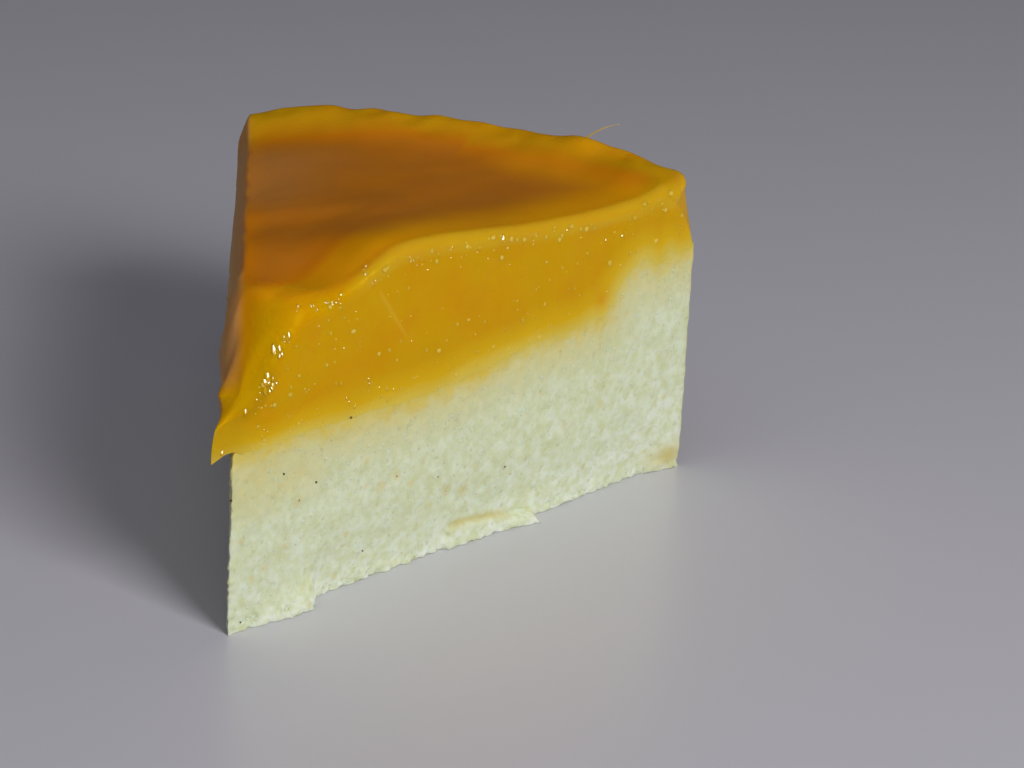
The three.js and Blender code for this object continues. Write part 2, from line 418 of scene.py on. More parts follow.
def soften(values, reach):
    """The mean of each value and its neighbours along the outline, which rounds the upright edges."""
    return np.mean([np.roll(values, step, axis=1) for step in range(-reach, reach + 1)], axis=0)


def unit(vectors):
    """Vectors of length 1 in the same directions."""
    return vectors / np.linalg.norm(vectors, axis=-1, keepdims=True)


def outward(plan):
    """Level unit vectors that point out: the run along the outline, turned a quarter clockwise."""
    run = unit(np.roll(plan, -1, axis=1) - np.roll(plan, 1, axis=1))
    return joined(run[..., 1], -run[..., 0])


def shrunk(plan, shares):
    """Copies of one outline, drawn in towards the middle of the slice by each share from 0 to 1."""
    keep = 1 - np.asarray(shares)[:, None, None]
    return MIDDLE + keep * (plan - MIDDLE)


def with_height(plan, z):
    """Plan places and heights as points."""
    return joined(plan[..., 0], plan[..., 1], z)


def skin_faces(ring_count, point_count):
    """Quads between neighbouring rings, and a fan of triangles to a pole at each end."""
    place = np.arange(ring_count * point_count).reshape(ring_count, point_count)
    beside = np.roll(place, -1, axis=1)
    quads = joined(place[:-1], beside[:-1], beside[1:], place[1:]).reshape(-1, 4)
    low_pole = ring_count * point_count
    low_fan = joined(low_pole, beside[0], place[0])
    high_fan = joined(low_pole + 1, place[-1], beside[-1])
    return quads, np.concatenate([low_fan, high_fan])


def with_poles(rings):
    """Flattens rings of points or values into one list, with the mean of each end ring at its end."""
    ends = np.stack([rings[0].mean(axis=0), rings[-1].mean(axis=0)])
    return np.concatenate([rings.reshape(-1, *rings.shape[2:]), ends])


def triangle_count(faces):
    """How many triangles lists of faces come to: two fewer for each face than it has corners."""
    return sum(len(kind) * (kind.shape[1] - 2) for kind in faces)


def add_piece(name, points, faces, finish, values=None):
    """A smooth-shaded object from points in millimetres, faces, a material and values per point."""
    mesh = bpy.data.meshes.new(name)
    mesh.from_pydata((points * MM).tolist(), [], [face for kind in faces for face in kind.tolist()])
    mesh.shade_smooth()
    for label, numbers in (values or {}).items():
        mesh.attributes.new(label, "FLOAT", "POINT").data.foreach_set("value", numbers.astype(np.float32))
    mesh.materials.append(finish)
    piece = new_object(name, mesh)
    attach(piece, "root")
    print(name, "has", triangle_count(faces), "triangles")
    return piece


def add_skin(name, rings, finish, values=None):
    """A closed piece from stacked rings of points, with a pole at each end."""
    return add_piece(name, with_poles(rings), skin_faces(*rings.shape[:2]), finish, values)


print("outline of", EDGE_POINTS, "points,", round(MIDDLE_TO_CUT, 1), "mm from its middle to a cut")

# %% [markdown]
# ## Colours that run through both layers
#
# Curd soaks into the crumb below it, so in a cut face there is no line between them: the colour goes
# from cream through butter and lemon to gold within about a centimetre. Both materials take it from one
# ramp, fed with the height above the seam that each mesh carries, so they meet in the same colour.

# %% Layer tones
FOOT_CRUMB = (0.89, 0.965, 0.80)
WHITE_CRUMB = (0.83, 0.905, 0.72)
CREAM = (0.80, 0.865, 0.635)
BUTTER = (0.767, 0.72, 0.355)
LEMON = (0.775, 0.59, 0.085)
PALE_CURD = (0.765, 0.47, 0.008)
GOLDEN = (0.71, 0.39, 0.001)
LAYER_TONES = (
    (-25.5, FOOT_CRUMB), (-22.0, WHITE_CRUMB), (-9.0, CREAM), (-3.0, BUTTER),
    (0.0, LEMON), (2.2, PALE_CURD), (5.5, GOLDEN),
)


def layer_tone(material):
    """The colour of a layered cut, from a ramp along the point value `above`, in mm above the seam."""
    lowest, highest = LAYER_TONES[0][0], LAYER_TONES[-1][0]
    node = material.node_tree.nodes.new("ShaderNodeValToRGB")
    feed(material, node.inputs[0], between(material, point_value(material, "above"), lowest, highest))
    marks = node.color_ramp.elements
    while len(marks) < len(LAYER_TONES):
        marks.new(0.5)
    for mark, (above, tone) in zip(marks, LAYER_TONES):
        mark.position = (above - lowest) / (highest - lowest)
        mark.color = (*tone, 1)
    return node.outputs["Color"]


print("layer tones at", [above for above, tone in LAYER_TONES], "mm from the seam")

# %% [markdown]
# ## The shape of the crumb
#
# The base was baked in a tin: its middle sank and its rim stayed high, so its top is a dish that the
# curd fills. The right cut leans in a little at its foot, and two bits of it stand out there: a chunk
# of crumb near the tip and, further back, a flake of the bottom crust with a toasted crack above it.
# The solid has the same forms. Here their edges are more ragged.

# %% Crumb shape
DISH_FLOOR = 27
DISH_RISES = ((35, 66, 2.6), (64, 79, 6.6), (79, CAKE_RADIUS, 0.6))
DISH_FRINGE = ((70.5, 2.2, -2.0), (78.0, 1.8, 0.7), (81.6, 1.3, -0.9), (84.4, 1.2, 0.4))
FRINGE_START = 0.7 * HALF_ANGLE
SLOW_WAVES = Sizes(height=0.4, length=11, start=(4, 16))
QUICK_WAVES = Sizes(height=0.16, rear=0.3, rear_start=(60, 70), length=3.1, start=(1, 5))
FOOT_ROUND = Sizes(inset=0.6, height=4)
FOOT_LEAN = Sizes(inset=1.35, height=14, along=(12, 18, 81, 88))
LOOSE_CHUNK = Sizes(start=4, end=15.4, height=(5.5, 5.5), proud=(0.4, 1.9), bend=(1, 1), flat=0.1)
FLAKE = Sizes(start=40, end=58.8, height=(3.9, 0.8), proud=(0.7, 2.8), bend=(1.9, 3), flat=0.75)
TORN_EDGE = 0.8
TORN_RAGS = ((1.0, 1.4, 33), (0.8, 0.6, 34))
RAGS_ALONG, RAGS_UP = 0.6, 0.2
FLAKE_CRACK = Sizes(
    width=0.52, below=0.1, fade_in=3, fade_out=2,
    depth=0.1, gap=0.5, gap_start=(52, 57), tan=0.88, tan_end=(50, 56),
)
CRUMB_WAVES = ((0.13, 4.5, 1), (0.10, 1.6, 2), (0.06, 0.75, 5))
PORES = Sizes(spacing=1.4, share=0.45, radii=(0.22, 0.5), warp=0.4, warp_length=0.9, depth=0.1)
SEAM_STEPS = np.linspace(-6, 6, 25)
SEAM_FADE = 2.0
SEAM_TUCK = 0.12


def dish_height(r, angle):
    """Height of the dished top: a floor, three S-bend rises towards the wall, and uneven waves.

    Along the right cut the seam dips and lifts in a few ragged tongues near the wall.
    """
    place = on_plan(r, angle)
    height = DISH_FLOOR + sum(step * rise(r, start, end) for start, end, step in DISH_RISES)
    tongues = sum(lift * hump(r - at, width) for at, width, lift in DISH_FRINGE)
    height += tongues * rise(angle, FRINGE_START, HALF_ANGLE)
    slow = SLOW_WAVES.height * uneven(place, SLOW_WAVES.length, 31) * rise(r, *SLOW_WAVES.start)
    quick = QUICK_WAVES.height + QUICK_WAVES.rear * rise(r, *QUICK_WAVES.rear_start)
    quick *= uneven(place, QUICK_WAVES.length, 32) * rise(r, *QUICK_WAVES.start)
    return height + slow + quick


def stretch_values(torn, r):
    """Height of a torn stretch and how far it stands proud, by the share of its length, bent by a power."""
    along = np.clip((r - torn.start) / (torn.end - torn.start), 0, 1)
    height = np.interp(along ** torn.bend[0], (0, 1), torn.height)
    return height, np.interp(along ** torn.bend[1], (0, 1), torn.proud)


def torn_foot(r, z):
    """How far the right face stands proud at its foot: it leans in, but a chunk and a flake hang out."""
    ragged = waves(joined(r, z, 0.0), *TORN_RAGS)
    ragged_r, ragged_z = r + RAGS_ALONG * ragged, z - RAGS_UP * ragged
    proud = -FOOT_LEAN.inset * fall(z, 0, FOOT_LEAN.height) * window(r, *FOOT_LEAN.along)
    for torn in (LOOSE_CHUNK, FLAKE):
        height, reach = stretch_values(torn, r)
        inside = rise(ragged_r, torn.start, torn.start + 2 * TORN_EDGE)
        inside *= fall(ragged_r, torn.end - TORN_EDGE, torn.end)
        proud += reach * inside * fall(ragged_z, torn.flat * height, height)
    return proud


def flake_crack(r, z):
    """1 along the crack above the flake: a bell across the line of the flake's upper edge."""
    line = stretch_values(FLAKE, r)[0] - FLAKE_CRACK.below
    ends = rise(r, FLAKE.start, FLAKE.start + FLAKE_CRACK.fade_in)
    ends *= fall(r, FLAKE.end - FLAKE_CRACK.fade_out, FLAKE.end)
    return ends * hump(z - line, FLAKE_CRACK.width)


def crumb_relief(points):
    """Millimetres that the crumb stands out, and how deep it is in a pore, from 0 to 1."""
    warped = points + PORES.warp * wander(points, PORES.warp_length, 14)
    pores = spots(warped, PORES.spacing, PORES.share, PORES.radii, 8)
    return waves(points, *CRUMB_WAVES) - PORES.depth * pores, pores


def seam_height(r, angle, z):
    """Millimetres above the seam: the shortest of the ways to points of it nearby, minus if below."""
    ways = [np.hypot(step, z - dish_height(r + step, angle)) for step in SEAM_STEPS]
    return np.sign(z - dish_height(r, angle)) * np.min(ways, axis=0)


print("dish rises to", dish_height(edge_r, edge_angle).max().round(1), "mm")

# %% [markdown]
# ## The crumb itself
#
# The rings of the sides are pushed out or in by the relief: all of it on the two cut faces, less on the
# baked wall, which was smooth against the tin. Along the tip edge the crumb breaks into burrs. Besides
# its shape, the mesh carries numbers for the finish: how deep a point lies in a pore, how much curd has
# soaked into it, where a toasted fleck is, and how baked it is.

# %% Crumb mesh
CRUMB_ROWS, CRUMB_CROWDING = 100, 1.1
CRUMB_LAP = 0.8
TIP_LAP = Sizes(height=0.2, reach=4)
TIP_LEAN = Sizes(foot=0.5, top=-0.4, over_seam=0.6, reach=12)
TIP_BLUNT = Sizes(steps=4, reach=1.2)
WALL_RELIEF = 0.35
BURRS, BURR_REACH = ((0.1, 1.1, 41), (0.2, 0.45, 43)), 0.9
FOOT_RAGS, FOOT_RAGS_END = ((0.25, 1.3, 42), (0.28, 0.6, 44)), (0.3, 3.0)
RELIEF_END = (-SEAM_FADE, -0.1)
FOOT_EDGE = 0.05
UNDERSIDE_INSET, UNDERSIDE_START = 2.2, (1, 7)
UNDERSIDE_SHARES = (0.75, 0.5, 0.3, 0.15, 0.05, 0.006)
DISH_SHARES = (0.008, 0.03, 0.08, 0.2, 0.4, 0.7)

climb = np.linspace(0, 1, CRUMB_ROWS)[:, None] ** CRUMB_CROWDING
crumb_top = dish_height(edge_r, edge_angle)[None]
lap = CRUMB_LAP + TIP_LAP.height * hump(edge_r, TIP_LAP.reach)
crumb_z = FOOT_EDGE + climb * (crumb_top + lap - FOOT_EDGE)
foot_inset = FOOT_ROUND.inset * fall(crumb_z, 0, FOOT_ROUND.height)
crumb_r = edge_r - (WALL_INSET + foot_inset) * wall_share(edge_r)
crumb_angle = edge_angle + 0 * crumb_r
lean = mix(TIP_LEAN.foot, TIP_LEAN.top, crumb_z / crumb_top)
lean -= TIP_LEAN.over_seam * np.maximum(0, crumb_z - crumb_top)
lean *= np.clip(1 - crumb_r / TIP_LEAN.reach, 0, 1) ** 2
sharp_plan = plan_point(crumb_r, crumb_angle) - lean[..., None] * ALONG_RIGHT
blunt = hump(crumb_r, TIP_BLUNT.reach)[..., None]
crumb_plan = mix(soften(sharp_plan, 2), soften(sharp_plan, TIP_BLUNT.steps), blunt)
crumb_sides = with_height(crumb_plan, crumb_z)

relief, pores = crumb_relief(crumb_sides)
relief_share = soften(np.where(on_wall, WALL_RELIEF, 1.0)[None], 6)
burrs = waves(with_height(0 * crumb_plan, crumb_z), *BURRS) * hump(crumb_r, BURR_REACH)
ragged_foot = waves(crumb_sides, *FOOT_RAGS) * fall(crumb_z, *FOOT_RAGS_END)
crack = flake_crack(crumb_r, crumb_z)
crack_depth = FLAKE_CRACK.depth + FLAKE_CRACK.gap * rise(crumb_r, *FLAKE_CRACK.gap_start)
torn = torn_foot(crumb_r, crumb_z) - crack_depth * crack
crumb_above = seam_height(crumb_r, crumb_angle, crumb_z)
proud = relief * relief_share + burrs + ragged_foot + np.where(on_right, torn, 0)
proud = proud * fall(crumb_above, *RELIEF_END) - SEAM_TUCK * np.maximum(0, crumb_above)
crumb_sides[..., :2] += proud[..., None] * outward(crumb_plan)

foot_inside = UNDERSIDE_INSET * rise(edge_r, *UNDERSIDE_START)[None, :, None]
inner_foot = (crumb_plan[:1] - foot_inside * outward(crumb_plan[:1]))[0]
underside = with_height(shrunk(inner_foot, UNDERSIDE_SHARES), 0.0)
dish_plan = shrunk(crumb_sides[-1, :, :2], DISH_SHARES)
dish = with_height(dish_plan, dish_height(*polar(dish_plan)))
crumb_rings = np.concatenate([underside, crumb_sides, dish])
print("crumb rings:", crumb_rings.shape, "deepest relief", proud.min().round(2), "mm")

# %% Crumb values for the finish
CORNER_SPOT = Sizes(r=86.5, z=2.4, wide=3.4, high=1.9)
BAKE = Sizes(mark=0.5, wall=0.52, underside=0.85)
WALL_MOTTLES = ((0.14, 7, 59), (0.1, 1.5, 60))
SOAK_RAGS = ((0.8, 2.5, 51), (0.6, 0.9, 54))
TIP_PATCH = Sizes(
    end=(11, 21), wave=(3, 5, 52), depth=(6, 16), share=0.8, above=-3.0, highest=-2.2,
)
PATCH_RAGS = ((1.6, 1.9, 57), (0.9, 0.8, 58))
FLECKS = Sizes(spacing=2.6, share=0.5, radii=(0.35, 0.95), warp=0.5, warp_length=1.0)
TOASTED_SPOTS = (
    (12.0, 17.2, 0.7), (27.2, 14.9, 1.0), (30.0, 15.5, 0.8), (39.9, 10.3, 1.0), (43.2, 9.3, 1.1),
)
UNDERSIDE_TONE = -9.0


def soaked_height(points, r, above):
    """Height above the seam as the colour has it: ragged, and held high in the soaked patch at the tip."""
    ragged = above + waves(points, *SOAK_RAGS)
    near_tip = fall(r + waves(points, TIP_PATCH.wave), *TIP_PATCH.end)
    share = TIP_PATCH.share * near_tip * fall(-above, *TIP_PATCH.depth)
    patchy = np.minimum(TIP_PATCH.above + waves(points, *PATCH_RAGS), TIP_PATCH.highest)
    return ragged + share * np.maximum(0, patchy - ragged)


def crumb_value(side_values, below=0.0, above=0.0):
    """A value for each point: those of the sides, one for the whole underside and one for the dish."""
    return with_poles(np.concatenate([
        np.full((len(UNDERSIDE_SHARES), EDGE_POINTS), below),
        side_values,
        np.full((len(DISH_SHARES), EDGE_POINTS), above),
    ]))


spot_reach = np.hypot((crumb_r - CORNER_SPOT.r) / CORNER_SPOT.wide,
                      (crumb_z - CORNER_SPOT.z) / CORNER_SPOT.high)
tan_crack = FLAKE_CRACK.tan * crack * fall(crumb_r, *FLAKE_CRACK.tan_end)
marks = np.maximum(tan_crack, hump(spot_reach, 1.0)) * on_right
wall_bake = (BAKE.wall + waves(crumb_sides, *WALL_MOTTLES)) * soften(np.where(on_wall, 1.0, 0.0)[None], 3)
fleck_places = crumb_sides + FLECKS.warp * wander(crumb_sides, FLECKS.warp_length, 55)
fleck = spots(fleck_places, FLECKS.spacing, FLECKS.share, FLECKS.radii, 53)
for spot_r, spot_z, spot_width in TOASTED_SPOTS:
    spot_distance = np.hypot(crumb_r - spot_r, crumb_z - spot_z)
    fleck = np.maximum(fleck, hump(spot_distance, spot_width) * on_right)
below_seam = fall(crumb_above, -SEAM_FADE, 0)
crumb_values = {
    "above": crumb_value(soaked_height(crumb_sides, crumb_r, crumb_above), UNDERSIDE_TONE),
    "pore": crumb_value(pores * below_seam),
    "fleck": crumb_value(fleck * below_seam),
    "bake": crumb_value(np.maximum(BAKE.mark * marks, wall_bake), BAKE.underside),
}
print("crumb values:", sorted(crumb_values))

# %% [markdown]
# ## Crumb finish
#
# Semolina crumb is a very pale, cool yellow, matt and slightly moist. Its colour is cloudy, darker in
# the pores, where the darkening is painted shade in the hollows, dotted with toasted flecks, and yellow
# where curd has soaked in. Light goes a little way into it, so a small amount of subsurface scattering
# softens the grain. The baked skin is golden.

# %% Crumb material
CLOUD = (0.67, 0.715, 0.37)
# Painted shade: the darker tone laid into the pores.
PORE_SHADE = (0.60, 0.61, 0.34)
FLECK = (0.74, 0.66, 0.29)
TOASTED = (0.65, 0.565, 0.19)
BAKED = (0.64, 0.40, 0.11)
CLOUDS = Sizes(size=2.2, detail=3, span=(0.36, 0.70), share=1.0)
SMALL_CLOUDS = Sizes(size=1.1, detail=1, span=(0.40, 0.72), share=0.6)
CLOUD_HEIGHTS, CLOUD_SHARES = (-6.0, -1.0), (0.65, 0.1)
CRUMB_GRAIN = Sizes(size=0.45, depth=0.05)
CRUMB_TINTS = (
    ("fleck", FLECK, 0.6, (0.1, 0.9)), ("pore", PORE_SHADE, 0.65, (0.1, 0.9)),
    ("bake", TOASTED, 0.9, (0.0, 0.5)), ("bake", BAKED, 1.0, (0.5, 1.0)),
)

made, crumb_inputs = new_finish("semolina_crumb", 0.72, {
    "Specular IOR Level": 0.3,
    "Subsurface Weight": 0.4,
    "Subsurface Radius": (1.0, 0.85, 0.5),
    "Subsurface Scale": 1.2 * MM,
})
colour = layer_tone(made)
deep_inside = between(made, point_value(made, "above"), *CLOUD_HEIGHTS, *CLOUD_SHARES)
for kind in (CLOUDS, SMALL_CLOUDS):
    pattern = mottling(made, kind.size, kind.detail)
    cloudy = laid_over(made, between(made, pattern, *kind.span, 0.0, kind.share), colour, CLOUD)
    colour = laid_over(made, deep_inside, colour, cloudy)
for tint in CRUMB_TINTS:
    colour = tinted(made, colour, *tint)
feed(made, crumb_inputs["Base Color"], colour)
fine_bump(made, crumb_inputs, mottling(made, CRUMB_GRAIN.size), CRUMB_GRAIN.depth)

semolina_crumb = add_skin("semolina_crumb", crumb_rings, made, crumb_values)
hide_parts("semolina_base")

# %% [markdown]
# ## The shape of the curd
#
# The curd was poured warm and set to a soft gel, so its top has slow folds where it was spread, a low
# rim against the tin, and rounded edges, with a raised lip along the right cut. Along the left cut a
# strip is chipped off. Over the tip the top slopes down, and there the knife dragged it a little past
# the crumb into a hooked drip. The formulas are those of the solid, so the two agree, and finer ripples
# are added for the gloss to play on.

# %% Curd shape
CURD_LEVEL = 46
FRONT_SLOPE = Sizes(foot=31.5, rise=1.3, soften=1.2)
FRONT_LIP = Sizes(at=12.5, reach=5, height=0.3, left_more=0.7, turn=(-15, 5))
FOLD = Sizes(at=31.5, skew=0.22, near=9, far=20, height=1.1, more=2.6)
SHOULDER = Sizes(level=0.8, soften=0.15)
BACK_FOLD = Sizes(at=47.5, skew=0.3, near=4, far=13, height=0.7, turn=(-30, -14, 0, 8))
RIM = Sizes(height=2.4, width=14, peak=1.2, peak_at=11.5, peak_width=3)
RIM_LUMPS = ((0.5, 6.5, 63), (0.4, 3.6, 64))
LEFT_SAG = Sizes(depth=1.4, turn=(15, 25.5), start=(60, 85))
RIPPLES = ((0.25, 12, 61), (0.07, 4, 62))
NOSE_RIPPLES, NOSE_RIPPLES_END = (0.06, 1.2, 65), (9, 14)
NOSE_END = (14, 24)
RIGHT_ROUND = Sizes(nose=3.0, behind=1.7, start=5)
RIGHT_LIP = Sizes(height=0.8, inside=(5, 22), along=(17, 31, 80, 89))
LEFT_ROUND = Sizes(nose=2.2, behind=1.6, start=9, share=0.7)
LEFT_CHIP = Sizes(width=1.4, wavy=0.4, wave=2.6, calm=0.6, calm_start=(16, 26), depth=3.6)
CHIP_START = (2, 7)
WALL_ROUND = 2.0
CORNER_ROUND = 5
CORNER_SAG = 1.6
DRIP = Sizes(drop=0.3, reach=1.4, arch=0.75, arch_at=1.9, arch_width=1.5)
SLIDE = Sizes(length=(3.3, 2.75), reach=(9, 3), power=(2, 1.2))


def soft_lower(a, b, softness):
    """The lower of two values, their meeting rounded: half of a + b less the length (a - b, softness)."""
    return (a + b - np.hypot(a - b, softness)) / 2


def lopsided_hump(x, fold):
    """A bell that has one width on its near side and another on its far side."""
    return hump(x, np.where(x < 0, fold.near, fold.far))


def curd_top(r, angle):
    """Height of the top before its edges are rounded: level, folds and rim, cut off by the slope."""
    degrees = np.degrees(angle)
    from_tip = r * np.cos(angle)
    place = on_plan(r, angle)
    lip = FRONT_LIP.height + FRONT_LIP.left_more * fall(degrees, *FRONT_LIP.turn)
    lip *= hump(from_tip - FRONT_LIP.at, FRONT_LIP.reach)
    across = np.clip(0.5 + angle / (2 * HALF_ANGLE), 0, 1)
    shoulder = soft_lower((across / SHOULDER.level) ** 2, 1, SHOULDER.soften)
    past_fold = r - FOLD.at - FOLD.skew * np.minimum(degrees, 0)
    fold = lopsided_hump(past_fold, FOLD) * (FOLD.height + FOLD.more * shoulder)
    past_back = r - BACK_FOLD.at - BACK_FOLD.skew * degrees
    back = BACK_FOLD.height * lopsided_hump(past_back, BACK_FOLD) * window(degrees, *BACK_FOLD.turn)
    rim = RIM.height + RIM.peak * hump(degrees - RIM.peak_at, RIM.peak_width)
    rim = (rim + waves(place, *RIM_LUMPS)) * rise(r, CAKE_RADIUS - RIM.width, CAKE_RADIUS)
    sag = LEFT_SAG.depth * rise(-degrees, *LEFT_SAG.turn) * rise(r, *LEFT_SAG.start)
    right_lip = RIGHT_LIP.height * fall(from_right_cut(r, angle), *RIGHT_LIP.inside)
    right_lip *= window(r, *RIGHT_LIP.along)
    ripples = waves(place, *RIPPLES) + waves(place, NOSE_RIPPLES) * fall(from_tip, *NOSE_RIPPLES_END)
    level = CURD_LEVEL + lip + fold + back + rim - sag + right_lip + ripples
    slope = FRONT_SLOPE.foot + FRONT_SLOPE.rise * from_tip
    return soft_lower(level, slope, FRONT_SLOPE.soften)


def edge_depth(r, edge):
    """Depth of a rounded edge along a cut: more round the nose than behind it, none at the very tip."""
    return mix(edge.nose, edge.behind, rise(r, *NOSE_END)) * rise(r, 0, edge.start)


def rounded_curd_top(r, angle):
    """The top with rounded edges along the cuts and the wall, which run into each other.

    On the nose the left edge is rounded over most of the width, so it reaches the ridge on the right.
    """
    right_depth = edge_depth(r, RIGHT_ROUND) + CORNER_SAG * wall_share(r)
    right_drop = rounded_drop(from_right_cut(r, angle), right_depth, right_depth)
    across = LEFT_ROUND.share * 2 * r * math.sin(HALF_ANGLE)
    left_width = mix(across, LEFT_ROUND.behind, rise(r, *NOSE_END))
    from_left = from_right_cut(r, -angle)
    left_drop = rounded_drop(from_left, left_width, edge_depth(r, LEFT_ROUND))
    chip_wave = uneven(joined(r, 0.0, 0.0), LEFT_CHIP.wave, 66)
    chip_wave *= 1 - LEFT_CHIP.calm * rise(r, *LEFT_CHIP.calm_start)
    chip_width = LEFT_CHIP.width + LEFT_CHIP.wavy * chip_wave
    chip_depth = LEFT_CHIP.depth * rise(r, *CHIP_START)
    chip_drop = chip_depth * np.clip(1 - from_left / chip_width, 0, 1)
    wall_drop = rounded_drop(CAKE_RADIUS - r, WALL_ROUND, WALL_ROUND)
    return curd_top(r, angle) - np.sqrt(right_drop**2 + left_drop**2 + chip_drop**2 + wall_drop**2)


def curd_plan(r, angle, h):
    """Plan place of the curd: inside the wall, round at the outer corners, slid past the tip."""
    corner = h**2 * rounded_drop(from_right_cut(r, np.abs(angle)), CORNER_ROUND, CORNER_ROUND)
    plan = plan_point(r - (corner + WALL_INSET) * wall_share(r), angle + 0 * r * h)
    slide = np.clip(1 - r / mix(*SLIDE.reach, h), 0, 1) ** mix(*SLIDE.power, h)
    slide *= mix(*SLIDE.length, h**2)
    return plan - slide[..., None] * ALONG_RIGHT


print("curd stands from", DISH_FLOOR, "to", curd_top(edge_r, edge_angle).max().round(1), "mm")

# %% [markdown]
# ## The curd itself
#
# On the cut faces the gel is almost flat, with one fine crease on the right. The left face is lumpier
# and hangs over the cut near the tip. The lowest rows dive into the crumb and cross its side at a very
# small angle, so no gap or line shows between the layers.

# %% Curd mesh
CURD_ROWS, CURD_CROWDING = 48, 1.15
TOP_DISTANCES = np.concatenate([
    [0.015, 0.06, 0.13, 0.22, 0.33, 0.47, 0.64, 0.85, 1.1, 1.4],
    np.arange(1.75, 8, 0.45),
    np.linspace(8.6, MIDDLE_TO_CUT - 1, 15),
])
FLOOR_SHARES = (0.7, 0.4, 0.15, 0.03)
CURD_SINK = Sizes(depth=2.5, left=(9, 15), right=(2.5, 6), inside=(3, 8))
ARCH_END = (0, 5)
GEL_WAVES = ((0.14, 6, 72), (0.05, 1.8, 73))
NOSE_GEL, NOSE_GEL_END = (0.05, 0.9, 78), (14, 24)
CREASE = Sizes(r=26.4, z=44.0, lean=-0.64, width=0.2, depth=0.1, up=(35.5, 38.5, 43.5, 45.5))
LEFT_HANG = Sizes(proud=(0.95, 0.3), nose_end=(9, 22), start=(1.5, 4), low=0.45, low_end=(5, 12))
HANG_FULL, HANG_LATER = 0.6, 0.8
NOSE_LUMP = Sizes(proud=0.9, r=3.6, reach=1.5)
LEFT_LUMPS = ((0.6, 6, 74), (0.3, 2.6, 75))
LEFT_BELLY = Sizes(proud=0.6, start=(3, 10), calm=0.7, calm_start=(40, 70))
WALL_GEL = 0.3
SEAM_LIFT = Sizes(above=(-2, 0, 1), proud=(-2 * SEAM_TUCK, 0, 0.03), start=(2, 5))
EDGE_CALM = 1.0
EDGE_BLEND = 2.2

curd_h = np.linspace(0, 1, CURD_ROWS)[:, None] ** CURD_CROWDING
drip = DRIP.arch * hump(edge_r - DRIP.arch_at, DRIP.arch_width)
drip -= DRIP.drop * np.clip(1 - edge_r / DRIP.reach, 0, 1)
sink = np.where(on_left, rise(edge_r, *CURD_SINK.left), rise(edge_r, *CURD_SINK.right))
curd_floor = crumb_top - CURD_SINK.depth * sink + drip
curd_edge = rounded_curd_top(edge_r, edge_angle)[None]
curd_z = mix(curd_floor, curd_edge, curd_h)
curd_r = edge_r + 0 * curd_h
curd_angle = edge_angle + 0 * curd_r
flat_plan = soften(curd_plan(curd_r, curd_angle, curd_h), 2)
curd_sides = with_height(flat_plan, curd_z)

curd_above = seam_height(curd_r, curd_angle, curd_z)
below_edge = curd_edge - curd_z
belly = np.sin(np.pi * curd_h)
free = rise(curd_above, 0, SEAM_FADE) * rise(below_edge, 0, EDGE_CALM)
gel = waves(curd_sides, *GEL_WAVES) + waves(curd_sides, NOSE_GEL) * fall(curd_r, *NOSE_GEL_END)
crease = hump(curd_r - CREASE.r - CREASE.lean * (curd_z - CREASE.z), CREASE.width)
crease *= window(curd_z, *CREASE.up) * free
right_proud = gel * free - CREASE.depth * crease
hang = mix(*LEFT_HANG.proud, rise(curd_r, *LEFT_HANG.nose_end)) * rise(curd_r, *LEFT_HANG.start)
hang += NOSE_LUMP.proud * hump(curd_r - NOSE_LUMP.r, NOSE_LUMP.reach)
low_hang = LEFT_HANG.low * fall(curd_r, *LEFT_HANG.low_end)
left_lumps = LEFT_BELLY.proud + waves(curd_sides, *LEFT_LUMPS)
left_lumps *= 1 - LEFT_BELLY.calm * rise(curd_r, *LEFT_BELLY.calm_start)
left_proud = belly * left_lumps * rise(curd_r, *LEFT_BELLY.start)
left_proud += hang * rise(curd_h, low_hang, HANG_FULL + HANG_LATER * low_hang)
side_proud = np.select([on_right, on_left], [right_proud, left_proud], WALL_GEL * belly * gel)
seam_lift = np.interp(curd_above, SEAM_LIFT.above, SEAM_LIFT.proud)
side_proud = soften(side_proud, 3) + seam_lift * rise(curd_r, *SEAM_LIFT.start)
curd_sides[..., :2] += side_proud[..., None] * outward(flat_plan)

outline = soften(plan_point(edge_r, edge_angle)[None], 2)[0]
top_plan = shrunk(outline, TOP_DISTANCES / MIDDLE_TO_CUT)
top_r, top_angle = polar(top_plan)
top_z = rounded_curd_top(top_r, top_angle)
curd_upper = with_height(curd_plan(top_r, top_angle, np.ones((1, 1))), top_z)
edge_shift = side_proud[-1] * fall(TOP_DISTANCES[:, None], 0, EDGE_BLEND)
curd_upper[..., :2] += edge_shift[..., None] * outward(curd_upper[..., :2])
lower_plan = shrunk(curd_sides[0, :, :2], FLOOR_SHARES)
lower_past_tip = lower_plan[..., 1] - TIP_Y
lower_z = dish_height(*polar(lower_plan)) - CURD_SINK.depth * rise(lower_past_tip, *CURD_SINK.inside)
curd_lower = with_height(lower_plan, lower_z + DRIP.arch * fall(lower_past_tip, *ARCH_END))
curd_rings = np.concatenate([curd_lower, curd_sides, curd_upper])
print("curd rings:", curd_rings.shape, "highest point", curd_rings[..., 2].max().round(2), "mm")
